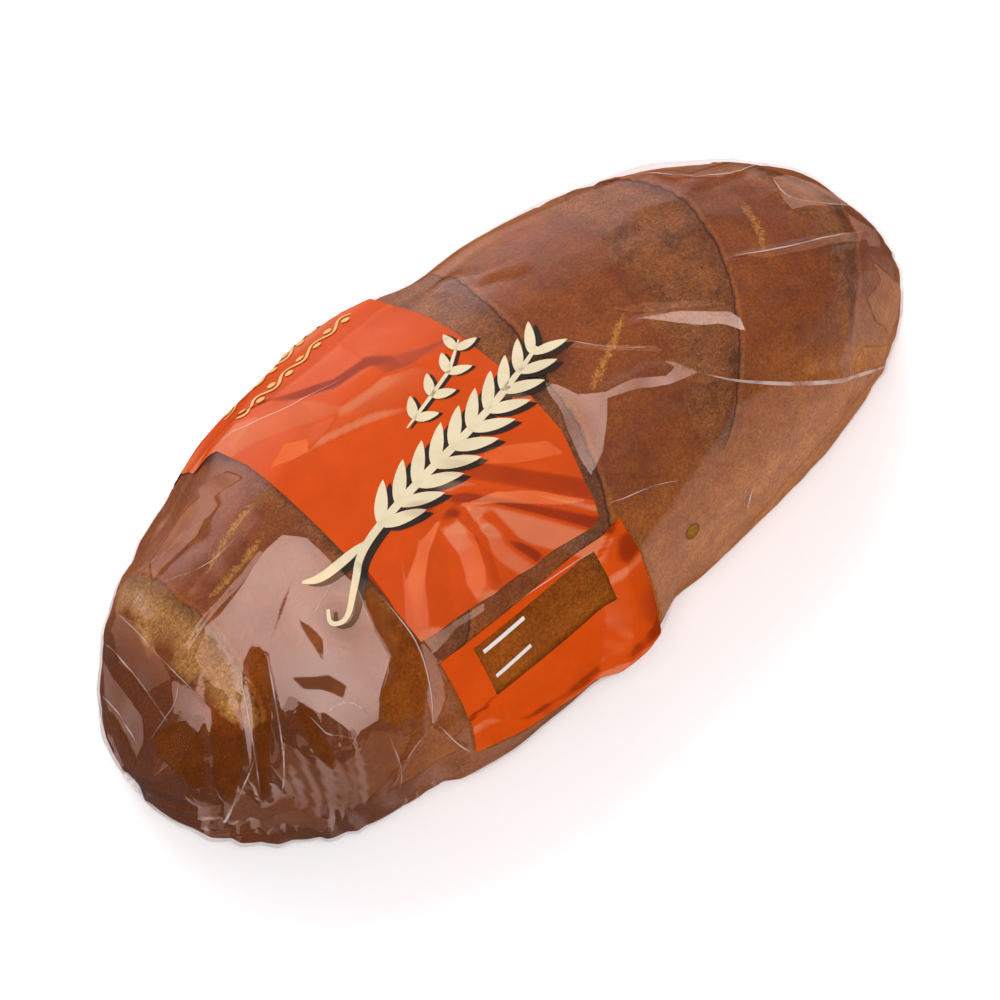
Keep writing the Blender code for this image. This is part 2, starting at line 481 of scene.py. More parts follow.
def makeCrustMaterial():
    bench = NodeBench(bpy.data.materials.new("bakedCrust"))
    tones = crust["tones"]
    place = bench.objectPlace()
    sheet = bench.attribute("sheet", "Vector")
    toRight = bench.attribute("toRight")
    toLeft = bench.attribute("toLeft")
    edge = bench.attribute("edge")
    lively = bench.span(bench.attribute("lively"), 0.15, 0.85)

    # where the slashes are open, and their cut edges, lips, seams and shadows, all painted: painted shade in
    # the cut and the seam, a painted highlight on the lip and a painted shadow inside the right edge
    wobble = bench.span(bench.noise(place, 330.0, 4.0), 0.3, 0.7, -0.8, 0.8)
    slow = bench.span(bench.noise(place, 120.0, 5.0), 0.3, 0.7, -3.0, 3.0)
    fromRight = bench.span(bench.math("SUBTRACT", wobble, toRight), -0.4, 0.8)
    fromLeft = bench.span(bench.math("ADD", toLeft, slow), -0.5, 6.0)
    opened = bench.times(bench.times(fromRight, fromLeft), lively)
    opened = bench.times(opened, bench.span(bench.attribute("inside"), -0.6, 0.4))
    raggedRight = bench.math("ADD", toRight, bench.times(wobble, 0.3))
    cutShadow = bench.times(bench.times(bench.nearTo(raggedRight, -0.20, 0.42, 0.05), lively), edge)
    lip = bench.times(bench.nearTo(raggedRight, 1.1, 1.1, 0.2), lively)
    raggedLeft = bench.math("ADD", toLeft, wobble)
    seamShade = bench.times(bench.times(bench.nearTo(raggedLeft, 0.0, 0.75, 0.1), lively), edge)
    shadow = bench.times(bench.span(toRight, -6.5, -0.2), opened)

    # the baked crust, darker on top and paler on the flanks, the flanks' paleness partly the crust's own and
    # partly painted light, with painted shade over the left end
    broad = bench.span(bench.noise(place, 26.0, 4.0), 0.35, 0.68)
    mottle = bench.span(bench.noise(place, 150.0, 6.0, 0.7), 0.36, 0.66)
    top = bench.mixColour(broad, tones["topDark"], tones["topMiddle"])
    top = bench.tint(top, tones["topPale"], mottle, 0.5)
    flank = bench.mixColour(mottle, tones["flankDark"], tones["flankPale"])
    colour = bench.mixColour(bench.attribute("side"), top, flank)
    # painted shade over the left end
    colour = bench.tint(colour, tones["leftEndShade"], bench.attribute("leftEndShade"), 0.85)

    # torn fibres in the open slashes
    hairOne = bench.mapping(sheet, (1.0, 4.5, 1.0), (0, 0, math.radians(40)))
    hairTwo = bench.mapping(sheet, (1.0, 4.5, 1.0), (0, 0, math.radians(-35)))
    fibreOne = bench.noise(hairOne, 420.0, 7.0, 0.80, 4.0)
    fibreTwo = bench.noise(hairTwo, 360.0, 7.0, 0.80, 5.0)
    whorl = bench.span(bench.noise(place, 110.0, 3.0), 0.44, 0.56)
    fibre = bench.mixValue(whorl, fibreOne, fibreTwo)
    fibreMask = bench.span(fibre, 0.44, 0.58)
    patch = bench.span(bench.noise(place, 70.0, 7.0, 0.72), 0.34, 0.56)
    torn = bench.mixColour(fibreMask, tones["tornDark"], tones["tornPale"])
    deep = bench.mixColour(fibreMask, tones["deepDark"], tones["deepPale"])
    gold = bench.mixColour(fibreMask, tones["goldDark"], tones["goldPale"])
    torn = bench.mixColour(patch, deep, torn)
    torn = bench.mixColour(bench.attribute("pale"), torn, gold)
    colour = bench.tint(colour, torn, opened, 0.9)
    colour = bench.tint(colour, tones["shadow"], shadow, 0.45)
    # painted highlight on the lip
    colour = bench.tint(colour, tones["lip"], lip, 0.30)
    # painted shade along the seam's groove
    colour = bench.tint(colour, tones["seamShade"], seamShade, 0.22)
    # painted shade in the cut
    colour = bench.tint(colour, tones["cutShadow"], cutShadow, 0.85)

    # golden cracks, specks and freckles, and the bare crust seen through the vent hole
    crackle = bench.noise(place, 620.0, 5.0, 0.75, 1.5)
    ragged = bench.math("ADD", bench.attribute("crackGap"), bench.span(crackle, 0.3, 0.7, -1.2, 1.2))
    golden = bench.span(ragged, 1.5, 0.3)
    goldenDark = bench.times(golden, bench.span(crackle, 0.50, 0.58))
    speck = bench.span(bench.voronoi(place, 420.0), 0.10, 0.03)
    freckle = bench.span(bench.noise(place, 950.0, 2.0), 0.40, 0.62)
    colour = bench.tint(colour, tones["crack"], golden, 0.75)
    colour = bench.tint(colour, tones["crackDark"], goldenDark, 0.7)
    colour = bench.tint(colour, tones["speck"], speck, 0.30)
    colour = bench.tint(colour, tones["freckle"], freckle, 0.30)
    throughVent = bench.span(ventDistance(bench, sheet), vent["radius"] * 1.1, vent["radius"] * 0.9)
    colour = bench.tint(colour, tones["underVent"], throughVent, 0.9)

    grain = bench.span(bench.noise(place, 1500.0, 4.0, 0.7), 0.32, 0.68, 0.76, 1.24)
    cloud = bench.span(bench.noise(place, 85.0, 7.0, 0.7), 0.34, 0.66, 0.87, 1.11)
    uneven = {"Color": colour, "Value": bench.times(grain, cloud)}
    height = bench.times(bench.times(fibre, opened), 1.5)
    height = bench.math("ADD", height, bench.noise(place, 900.0, 4.0))
    height = bench.math("SUBTRACT", height, bench.times(cutShadow, 1.2))
    shader = bench.node("ShaderNodeBsdfPrincipled", {
        "Base Color": bench.node("ShaderNodeHueSaturation", uneven).outputs[0],
        "Roughness": bench.span(mottle, 0.0, 1.0, 0.55, 0.72),
        "Normal": bench.bump(height, 0.80, 0.0005),
        "Specular IOR Level": 0.04,
    })
    return bench.finish(shader.outputs[0])


def makeCrust():
    settings = crust
    mesh, x, girth = makeSheetForm("crustMesh", settings["rings"], settings["sides"])
    relief, inside, toRight, toLeft, lively, crackGap = crustRelief(x, girth)
    down = np.abs(girth)
    under = fadeIn(down, 0.128, 0.012)
    outer = np.maximum(fadeIn(down, 0.055, 0.025), fadeIn(np.abs(x), 0.105, 0.025))
    depth = settings["depthOnTop"] * (1 - outer) + settings["depthOnSides"] * outer
    depth = depth * (1 - under) + settings["bottomDepth"] * under
    relief = relief * (1 - 0.8 * under)
    filmHere = filmLift(x, girth)
    follow = settings["followOnSides"] * outer * (1 - under)
    lift = (relief - depth) * (1 - follow) + (filmHere - settings["sideGap"]) * follow
    lift = np.minimum(lift, filmHere - settings["leastGap"])
    points = sheetToSpace(x, girth, lift)
    floorLevel = settings["bottomDepth"] + settings["bottomGrain"] * evenNoise(x, girth, 0.002, 9)
    points[:, 2] = np.maximum(points[:, 2], floorLevel)
    # painted shade over the left end: on its near side and all over its tip
    leftEndShade = fadeIn(-x, 0.070, 0.04) * fadeIn(girth, 0.012, 0.03)
    marks = {
        "inside": inside,
        "toRight": toRight,
        "toLeft": toLeft,
        "lively": lively * (1 - under),
        "crackGap": crackGap,
        # flanks paler than the top, partly the crust's own bake and partly painted light; on the left half
        # they stay darker as painted shade
        "side": fadeIn(down, 0.035, 0.055) * (0.25 + 0.75 * fadeIn(x, -0.03, 0.06)),
        "leftEndShade": np.maximum(leftEndShade, 0.9 * fadeIn(-x, 0.118, 0.014)),
        "pale": fadeIn(-x, 0.092, 0.012),
        "edge": 0.25 + 0.75 * fadeIn(x, -0.085, 0.02) * fadeIn(-x, -0.100, 0.01),
    }
    addSheetAttribute(mesh, x, girth)
    for name, values in marks.items():
        addAttribute(mesh, name, values)
    finishPiece("crust", mesh, points, makeCrustMaterial())


# Flat patches of the film that lie at one angle and so mirror one light all over
plates = {
    "normal": (-0.42, -0.25, 0.870),
    # parts with little shine of their own, in millimetres, that the patches lie on
    "quiet": [
        (0.10, [(-113.5, 46), (-110.5, 56.5), (-106.5, 64.5), (-101, 63), (-93, 58.5), (-84, 67),
                (-94.5, 78.5), (-106, 87), (-119, 74.5)]),
        (0.05, [(-69, 52), (-1, 52), (1, 108), (-69, 94)]),
    ],
    "wander": 0.0004,
    "wanderSize": 0.006,
    "soften": 0.12,
    "softest": 0.70,
    "unevenness": 0.05,
    "patches": [
        {"shine": 1, "outline": [(-78.5, -7.5), (-74.5, -1), (-74.5, 11), (-73.5, 19.5), (-77.5, 32.5),
            (-78.5, 43), (-85.5, 49.5), (-90, 56.5), (-97.5, 56.5), (-100, 48), (-102.5, 38.5), (-106, 34),
            (-110, 37.5), (-106, 26), (-103, 18.5), (-105, 12), (-109.5, 14.5), (-115.5, 23.5),
            (-115, 17.5), (-114, 3), (-111, -6), (-106, -4.5), (-95.5, -5.5), (-85.5, -7.5)]},
        {"shine": 0.85, "outline": [(-117, 26), (-111.5, 19.5), (-116, 31), (-121.5, 50.5), (-126, 66.5),
            (-125.5, 56), (-121.5, 41.5)]},
        {"shine": 0.6, "outline": [(-125.5, -4.5), (-123, 12.5), (-123, 22), (-127.5, 29.5), (-126, 19.5),
            (-130.5, 7.5)]},
        {"shine": 0.16, "outline": [(-101, 62), (-93.5, 59), (-85, 66), (-91, 76.5), (-98, 77),
            (-105.5, 86.5), (-107, 70)]},
        {"shine": 0.35, "outline": [(-69, 43.5), (-68, 50.5), (-70.5, 62), (-79, 70.5), (-74, 53)]},
        {"shine": 0.5, "outline": [(-68.5, 43.5), (-59.5, 45), (-48, 46.5), (-49, 48.5), (-58.5, 47),
            (-67.5, 49.5)]},
        {"shine": 0.45, "outline": [(-100, -51.5), (-86.5, -42), (-91.5, -36), (-98.5, -42.5)]},
        {"shine": 0.45, "outline": [(-83.5, -52), (-75.5, -40.5), (-75, -33), (-86.5, -41)]},
        {"shine": 0.8, "outline": [(6, 8.5), (8.5, 11.5), (11, 18), (17.5, 22), (13.5, 28), (6, 35.5),
            (-1.5, 38.5), (-1, 33.5), (1, 27), (3, 20)]},
        {"shine": 0.9, "outline": [(17.5, 22), (26.5, 24), (35, 29), (39, 28.5), (37, 24), (40, 27),
            (44, 34.5), (35, 32), (25, 27), (16.5, 24)]},
        {"shine": 1.1, "outline": [(39.5, 9), (51.5, 15), (64, 24.5), (66.5, 29), (65.5, 33.5),
            (59.5, 26.5), (49, 18.5)]},
        {"shine": 0.8, "outline": [(-68.5, -27), (-60.5, -29.5), (-55, -25), (-57.5, -21.5), (-63, -23.5)]},
        {"shine": 0.6, "soft": 1.2, "outline": [(-20, 13.5), (-5, 22.5), (-3, 29.5), (-16.5, 22.5),
            (-26, 15.5)]},
        {"shine": 0.85, "soft": 0.9, "outline": [(-38.5, 20.5), (-26.5, 24.5), (-15, 34), (-5, 44.5),
            (-17, 37.5), (-28.5, 28)]},
        {"shine": 0.85, "soft": 0.9, "outline": [(-42, 20), (-52.5, 25.5), (-61.5, 33), (-67, 39.5),
            (-62.5, 28.5), (-52.5, 21.5)]},
        {"shine": 0.6, "soft": 0.9, "outline": [(-41, 23.5), (-39.5, 30), (-42.5, 38.5), (-49, 44.5),
            (-49, 39), (-44, 34)]},
        {"shine": 0.38, "soft": 2, "outline": [(-112, -5), (-108, 0), (-111, 14), (-117, 22), (-119, 12),
            (-118, -2)]},
        {"shine": 0.36, "soft": 1.5, "outline": [(-129.5, -72), (-134, -40.5), (-135.5, -11.5), (-139, 2),
            (-144, -1), (-140, -54.5)]},
        {"shine": 0.42, "soft": 1.5, "outline": [(-92, -54), (-81, -44), (-84, -34), (-95, -33), (-104, -37),
            (-112, -42), (-108, -52)]},
        {"shine": 0.2, "outline": [(-121.5, -55.5), (-121, -35), (-125.5, -4.5), (-132.5, -13.5),
            (-131, -43.5), (-125.5, -58)]},
        {"shine": 0.12, "outline": [(-128.5, 54), (-126, 69), (-117, 69.5), (-111, 91), (-127, 87.5),
            (-133.5, 73)]},
        {"shine": 0.14, "outline": [(-91, 76.5), (-78.5, 67.5), (-70.5, 85), (-89.5, 85), (-96, 86.5)]},
        {"shine": 0.12, "outline": [(-113.5, 45.5), (-111.5, 58.5), (-110, 70), (-118, 74.5), (-119, 57)]},
        {"shine": 1, "outline": [(-105, 35), (-103, 35), (-100, 43), (-96, 41), (-94, 44.5), (-91.5, 52.5),
            (-95.5, 49.5), (-99, 46.5), (-102.5, 43.5)]},
        {"shine": 0.4, "outline": [(111.5, -18.5), (109, -9), (107.5, 1), (117, 5), (133.5, 5), (133, -7),
            (129, -19), (122, -27.5)]},
        {"shine": 0.35, "outline": [(127.5, 8.5), (134, 30), (131.5, 40.5), (123.5, 35), (124.5, 22.5)]},
        {"shine": 0.25, "outline": [(121, 40), (130.5, 67), (118.5, 82.5), (111, 64), (111, 53),
            (120.5, 52.5)]},
        {"shine": 0.25, "outline": [(101, 67), (116, 82.5), (109.5, 85.5), (92, 70.5)]},
        {"shine": 0.28, "soft": 1.5, "outline": [(81, -48.5), (86.5, -31.5), (98.5, -25.5), (119, -32),
            (116, -43.5), (93.5, -38)]},
        {"shine": 0.22, "outline": [(77.5, 9), (91.5, 15.5), (134.5, 27), (129.5, 33), (101.5, 23),
            (86.5, 17)]},
        {"shine": 0.22, "outline": [(19.5, 0.5), (26.5, 8.5), (40.5, 21.5), (40.5, 24), (26.5, 12),
            (18.5, 3.5)]},
        {"shine": 0.22, "outline": [(35, -0.5), (43.5, 4.5), (62.5, 17.5), (68.5, 25), (60, 19.5),
            (42, 8)]},
    ],
    "facetTone": 0.42,
    "facetSize": (10, 15),  # millimetres
    # narrow folds fanned out over the left bottom, in millimetres: feet, heads and shine
    "fans": [
        {"count": 13, "seed": 4, "foot": (-102, -139, 94), "head": (-96, -141, 50),
         "length": 22, "width": 1.4, "shine": 0.36},
        {"count": 7, "seed": 7, "foot": (-141, -143, 30), "head": (-116, -128, 4),
         "length": 12, "width": 1.3, "shine": 0.40},
        {"count": 6, "seed": 9, "foot": (-62, -92, 112), "head": (-66, -96, 90),
         "length": 10, "width": 1.6, "shine": 0.35},
    ],
    # dark parts where the film mirrors next to nothing, and the share of gloss that they take
    "clearing": 0.94,
    "clears": [
        [(-58, 54.5), (-13, 54.5), (-13, 72.5), (-58, 72.5)],
        [(-71.5, 21), (-69.5, 33), (-69, 43), (-73.5, 56), (-80, 64), (-84.5, 56), (-78, 45), (-77, 33),
         (-73, 20)],
        [(-105.5, 12.5), (-103.5, 14.5), (-104.5, 21), (-109.5, 31), (-116.5, 43.5), (-125, 69.5),
         (-125, 52.5), (-113.5, 26.5)],
        [(-136.5, 4), (-132.5, 10), (-129, 15), (-129, 27), (-133.5, 50), (-136, 48.5), (-138, 32),
         (-139, 16)],
        [(-127, 28), (-122.5, 18.5), (-119, 20), (-119, 30.5), (-123.5, 45), (-130, 61), (-132.5, 52)],
        [(-107, 39.5), (-103.5, 40.5), (-104.5, 50), (-104.5, 60), (-107, 64), (-108.5, 54)],
        [(-102.5, 29), (-94, 35.5), (-92.5, 42), (-95, 44.5), (-98, 38), (-101.5, 34.5)],
        [(-87, 51), (-81, 46.5), (-82, 52), (-84.5, 61.5), (-89, 61.5)],
        [(-91, 16), (-90, 20), (-90, 26), (-93, 31), (-92.5, 23)],
        [(-84.5, 4.5), (-91, 8.5), (-103, 17), (-91, 10)],
    ],
}


def outlineDistance(x, girth, outline):
    # distance to a closed outline of the sheet, positive inside it
    points = np.array(outline)
    best = np.full(x.shape, 1e9)
    inside = np.zeros(x.shape, dtype=bool)
    for start, end in zip(points, np.roll(points, -1, axis=0)):
        _, offX, offG = gapToSegment(x, girth, start, end)
        best = np.minimum(best, np.hypot(offX, offG))
        wayX, wayG = end - start
        crossX = wayX * (girth - start[1]) / (wayG or 1e-12) + start[0]
        inside ^= ((start[1] > girth) != (end[1] > girth)) & (x < crossX)
    return np.where(inside, best, -best)


def fanOutlines():
    # long narrow wedges, each with its foot low down and a pointed head
    outlines = []
    for fan in plates["fans"]:
        footFrom, footTo, footGirth = fan["foot"]
        headFrom, headTo, headGirth = fan["head"]
        for number in range(fan["count"]):
            share = (number + 0.5) / fan["count"]
            chance = [hashNoise(number, turn, fan["seed"]) for turn in range(5)]
            footX = footFrom + (footTo - footFrom) * share
            headX = headFrom + (headTo - headFrom) * share + 4 * (chance[0] - 0.5)
            top = headGirth + fan["length"] * (chance[1] - 0.5)
            bottom = footGirth + 12 * (chance[2] - 0.5)
            half = fan["width"] * (0.35 + 0.65 * chance[3])
            middleX = footX + (headX - footX) * 0.6 + 2 * (chance[4] - 0.5)
            middleG = bottom + (top - bottom) * 0.6
            outline = [(footX - half * 0.4, bottom), (middleX - half, middleG), (headX, top),
                       (middleX + half, middleG + 3), (footX + half * 0.4, bottom)]
            outlines.append((outline, fan["shine"] * (0.5 + chance[0])))
    return outlines


def markPlates(mesh, x, girth):
    # stores how far inside a flat patch each point is, in millimetres, and the patch's shine
    settings = plates
    size = settings["wanderSize"]
    warpX = (x + settings["wander"] * evenNoise(x, girth, size, 51)) * 1000
    warpG = (girth + settings["wander"] * evenNoise(x, girth, size, 52)) * 1000
    best = np.full(x.shape, -9.0)
    shine = np.zeros_like(x)
    soft = np.full(x.shape, settings["soften"])
    for strength, outline in settings["quiet"]:
        gap = outlineDistance(warpX, warpG, outline)
        shine = np.where(gap > best, strength, shine)
        best = np.maximum(best, gap)
    base = best > 0
    for patch in settings["patches"]:
        gap = outlineDistance(warpX, warpG, patch["outline"])
        edge = np.interp(patch["shine"], (0.25, 0.60), (settings["softest"], settings["soften"]))
        over = (gap > best) | (base & (gap > 0))
        soft = np.where(over, patch.get("soft", edge), soft)
        shine = np.where(over, patch["shine"], shine)
        best = np.maximum(best, gap)
    for outline, strength in fanOutlines():
        gap = outlineDistance(warpX, warpG, outline)
        narrow = (gap > -0.2) & ((best < 0.8) | base)
        shine = np.where(narrow, strength, shine)
        soft = np.where(narrow, settings["soften"], soft)
        best = np.where(narrow, np.maximum(best, gap), best)
    sizeX, sizeG = settings["facetSize"]
    shine *= 1 + settings["facetTone"] * plateNoise(warpX / sizeX + 5, warpG / sizeG - 3, 53)
    clear = np.full(x.shape, -9.0)
    for outline in settings["clears"]:
        clear = np.maximum(clear, outlineDistance(warpX, warpG, outline))
    addAttribute(mesh, "clearGap", np.clip(clear, -9, 9))
    addAttribute(mesh, "plateGap", np.clip(best, -9, 9))
    addAttribute(mesh, "plateShine", shine)
    addAttribute(mesh, "plateSoft", soft)


def plateNormal(bench, sheet):
    # the film's own waves, swapped for one steady angle on the flat patches
    soft = bench.attribute("plateSoft")
    mask = bench.span(bench.attribute("plateGap"), bench.times(soft, -1.0), soft)
    ripples = bench.noise(bench.mapping(sheet, (1.0, 2.2, 1.0)), 70.0, 3.0, 0.5)
    waved = bench.bump(ripples, 0.15, 0.0008)
    flat = bench.node("ShaderNodeVectorTransform", {"Vector": plates["normal"]}, vector_type="NORMAL",
                      convert_from="OBJECT", convert_to="WORLD").outputs[0]
    cloud = bench.node("ShaderNodeTexNoise", {"Vector": sheet, "Scale": 55.0, "Detail": 2.0})
    drift = bench.vectorMath("SUBTRACT", {0: cloud.outputs["Color"], 1: (0.5, 0.5, 0.5)})
    drift = bench.vectorMath("SCALE", {0: drift, "Scale": plates["unevenness"]})
    flat = bench.vectorMath("ADD", {0: flat, 1: drift})
    mixed = bench.node("ShaderNodeMix", {0: mask, 4: waved, 5: flat}, data_type="VECTOR").outputs[1]
    return bench.vectorMath("NORMALIZE", {0: mixed}), mask


# The clear film
film = {
    "rings": 330,
    "sides": 288,
    "mostGloss": 0.13,
    "cling": -0.0007,
    "slack": 0.0002,
    "highest": 0.0030,
    "bottomGap": 0.0003,
    "creaseRound": 0.00025,
    "crumpleHeight": 0.0009,
    "waveHeight": 0.00018,
    # places where the bag lies closer: x, girth, reach along x and girth, depth
    "hollows": [
        (0.008, -0.064, 0.016, 0.030, 0.0036),
        (0.040, -0.066, 0.022, 0.030, 0.0012),
        (-0.042, -0.074, 0.020, 0.026, 0.0016),
        (-0.092, -0.066, 0.018, 0.030, 0.0048),
        (0.045, 0.101, 0.045, 0.026, 0.0026),
        (0.013, 0.104, 0.010, 0.024, 0.0022),
        (-0.077, 0.108, 0.012, 0.024, 0.0028),
    ],
    "fanFolds": 8,
    # flat facets: columns along x, rows round the girth, and how far the film stands out as facets
    "columns": [-0.142, -0.131, -0.119, -0.105, -0.091, -0.076, -0.056, -0.032, -0.006,
                0.020, 0.046, 0.074, 0.096, 0.112, 0.124, 0.134, 0.142],
    "rowStep": 0.0165,
    "jitter": 0.32,
    "tiltSpread": 0.055,
    "endFacets": 60,
    "endAlong": (-0.142, -0.074),
    "endAcross": (-0.080, 0.120),
    "endTiltSpread": 0.11,
    "seed": 12,
    # facets that lean towards the light: place and lean, and the room that each takes
    "leaningRoom": 0.0095,
    "leaning": [
        (-0.088, -0.001, 0.45),
        (-0.081, 0.017, 0.60),
        (-0.084, 0.036, 0.70),
        (-0.101, 0.006, 0.50),
        (-0.112, 0.014, 0.62),
        (-0.093, 0.052, 0.60),
        (-0.118, 0.032, 0.62),
        (-0.127, 0.020, 0.45),
        (0.011, 0.025, 0.75),
        (-0.064, -0.026, 0.50),
    ],
    "leanNormal": (-0.34, -0.30, 0.89),
    # folds: a crest line, its height and the width of its two flanks
    "folds": [
        {"path": [(-0.105, 0.012), (-0.108, 0.022), (-0.115, 0.045), (-0.127, 0.072)],
         "height": 0.0011, "left": 0.0022, "right": 0.0030},
        {"path": [(-0.119, 0.018), (-0.122, 0.034), (-0.126, 0.047), (-0.134, 0.064)],
         "height": 0.0011, "left": 0.0035, "right": 0.0024},
        {"path": [(-0.101, 0.027), (-0.096, 0.036), (-0.094, 0.044), (-0.099, 0.060)],
         "height": 0.0008, "left": 0.0030, "right": 0.0020},
        {"path": [(-0.070, 0.012), (-0.071, 0.030), (-0.075, 0.050), (-0.083, 0.074)],
         "height": 0.0012, "left": 0.0055, "right": 0.0016},
        {"path": [(-0.086, 0.010), (-0.090, 0.019), (-0.097, 0.019), (-0.103, 0.021)],
         "height": 0.0004, "left": 0.0020, "right": 0.0008},
        {"path": [(-0.113, 0.052), (-0.103, 0.058), (-0.092, 0.060), (-0.083, 0.066)],
         "height": 0.0010, "left": 0.0060, "right": 0.0018},
        {"path": [(-0.135, 0.022), (-0.131, 0.038), (-0.133, 0.055)],
         "height": 0.0010, "left": 0.0024, "right": 0.0030},
        {"path": [(-0.076, -0.011), (-0.096, -0.008), (-0.110, -0.009), (-0.123, -0.007)],
         "height": 0.0008, "left": 0.0120, "right": 0.0018},
        {"path": [(-0.041, 0.018), (-0.031, 0.026), (-0.020, 0.039), (-0.004, 0.058)],
         "height": 0.0024, "left": 0.0075, "right": 0.0045, "round": 0.0006},
        {"path": [(-0.039, 0.009), (-0.029, 0.020), (-0.019, 0.031), (-0.001, 0.050)],
         "height": 0.0014, "left": 0.0032, "right": 0.0060, "round": 0.0006},
        {"path": [(-0.046, 0.012), (-0.058, 0.030), (-0.068, 0.046)],
         "height": 0.0020, "left": 0.0045, "right": 0.0070, "round": 0.0006},
        {"path": [(-0.041, 0.020), (-0.041, 0.032), (-0.046, 0.048)],
         "height": 0.0016, "left": 0.0045, "right": 0.0035, "round": 0.0006},
        {"path": [(-0.035, 0.027), (-0.033, 0.040), (-0.029, 0.050)],
         "height": 0.0012, "left": 0.0045, "right": 0.0030, "round": 0.0006},
        {"path": [(0.004, 0.026), (0.018, 0.023), (0.032, 0.025), (0.044, 0.034), (0.056, 0.045),
                  (0.071, 0.059), (0.091, 0.071), (0.114, 0.088)],
         "height": 0.0015, "left": 0.0090, "right": 0.0032, "round": 0.0009},
        {"path": [(0.036, 0.009), (0.052, 0.018), (0.068, 0.029)],
         "height": 0.0010, "left": 0.0050, "right": 0.0030, "round": 0.0008},
        {"path": [(0.072, 0.010), (0.107, 0.021), (0.136, 0.030)],
         "height": 0.0012, "left": 0.0070, "right": 0.0030, "round": 0.0008},
        {"path": [(0.083, -0.046), (0.091, -0.027), (0.104, -0.030), (0.122, -0.033)],
         "height": 0.0015, "left": 0.0040, "right": 0.0060, "round": 0.0008},
        {"path": [(0.113, -0.030), (0.110, -0.010), (0.114, 0.004), (0.134, -0.002)],
         "height": 0.0018, "left": 0.0050, "right": 0.0060, "round": 0.0008},
        {"path": [(0.008, -0.050), (0.018, -0.036), (0.032, -0.028)],
         "height": 0.0012, "left": 0.0040, "right": 0.0060, "round": 0.0008},
        {"path": [(-0.108, -0.045), (-0.098, -0.040), (-0.088, -0.033)],
         "height": 0.0012, "left": 0.0060, "right": 0.0025},
        {"path": [(-0.080, -0.058), (-0.063, -0.047), (-0.039, -0.030), (-0.020, -0.027)],
         "height": 0.0016, "left": 0.0080, "right": 0.0060, "round": 0.0006},
        {"path": [(-0.006, 0.056), (-0.010, 0.080), (-0.018, 0.112)],
         "height": 0.0022, "left": 0.0090, "right": 0.0150},
    ],
    "corner": (-0.003, 0.102),
    "cornerStandOff": 0.0040,
    "pleats": 17,
    "pleatHeight": 0.0016,
}


def makeFacets():
    # planes that touch the loaf, each a flat facet of the film
    settings = film
    rowStep = settings["rowStep"]
    random = np.random.default_rng(settings["seed"])
    columns = np.array(settings["columns"])
    rows = np.arange(-10.5, 11) * rowStep
    x = np.repeat(columns, len(rows))
    gap = np.repeat(np.gradient(columns), len(rows))
    everySecond = np.repeat(np.arange(len(columns)) % 2, len(rows))
    girth = np.tile(rows, len(columns)) + everySecond * rowStep / 2
    x = x + gap * settings["jitter"] * random.uniform(-1, 1, len(x))
    girth = girth + rowStep * settings["jitter"] * random.uniform(-1, 1, len(x))
    lean = np.zeros_like(x)
    tilt = random.normal(0, settings["tiltSpread"], (len(x), 3))
    # more and rougher facets on the left end
    extra = settings["endFacets"]
    x = np.append(x, random.uniform(*settings["endAlong"], extra))
    girth = np.append(girth, random.uniform(*settings["endAcross"], extra))
    lean = np.append(lean, np.zeros(extra))
    tilt = np.append(tilt, random.normal(0, settings["endTiltSpread"], (extra, 3)), axis=0)
    for placeX, placeG, amount in settings["leaning"]:
        keep = np.hypot(x - placeX, girth - placeG) > settings["leaningRoom"]
        x = np.append(x[keep], placeX)
        girth = np.append(girth[keep], placeG)
        lean = np.append(lean[keep], amount)
        tilt = np.append(tilt[keep], [(0, 0, 0)], axis=0)
    step = 0.001
    level = np.zeros_like(x)
    alongX = sheetToSpace(x + step, girth, level) - sheetToSpace(x - step, girth, level)
    alongG = sheetToSpace(x, girth + step, level) - sheetToSpace(x, girth - step, level)
    normals = np.cross(alongG, alongX)
    points = sheetToSpace(x, girth, level)
    outward = points - np.array([0, sideShift, loafForm["coreHeight"]])
    outward[:, 0] -= np.clip(outward[:, 0], -loafForm["coreHalfLength"], loafForm["coreHalfLength"])
    normals *= np.sign((normals * outward).sum(axis=1, keepdims=True))
    # places past the underside's middle have no facet
    sizes = np.linalg.norm(normals, axis=1)
    real = sizes > 0
    normals, points, lean, tilt = normals[real], points[real], lean[real], tilt[real]
    normals = normals / sizes[real, None] + tilt
    ideal = np.array(settings["leanNormal"])
    normals = normals * (1 - lean[:, None]) + ideal * lean[:, None]
    normals /= np.linalg.norm(normals, axis=1, keepdims=True)
    return normals, (normals * points).sum(axis=1)


facetNormals, facetLevels = makeFacets()


def facetLift(x, girth):
    # how far the nearest facet plane stands off the loaf
    level = np.zeros_like(x)
    base = sheetToSpace(x, girth, level)
    away = sheetToSpace(x, girth, level + 0.001) - base
    away /= np.maximum(np.linalg.norm(away, axis=-1, keepdims=True), 1e-9)
    best = np.full(x.shape, film["highest"])
    for normal, reach in zip(facetNormals, facetLevels):
        facing = away @ normal
        gap = reach - base @ normal
        lift = np.where(facing > 0.3, gap / np.maximum(facing, 0.3), 1.0)
        best = np.minimum(best, lift)
    return best


def foldLift(x, girth, fold):
    # a tent along a crest line, fading out at both ends of the line
    distance, along = pathDistance(x, girth, fold["path"])
    width = np.where(distance > 0, fold["left"], fold["right"])
    bend = fold.get("round", film["creaseRound"])
    rounded = np.sqrt(distance ** 2 + bend ** 2) - bend
    tent = np.clip(1 - rounded / width, 0, 1)
    fade = smoothStep(np.minimum(along, 1 - along) / 0.16 + 0.1)
    return fold["height"] * fade * tent


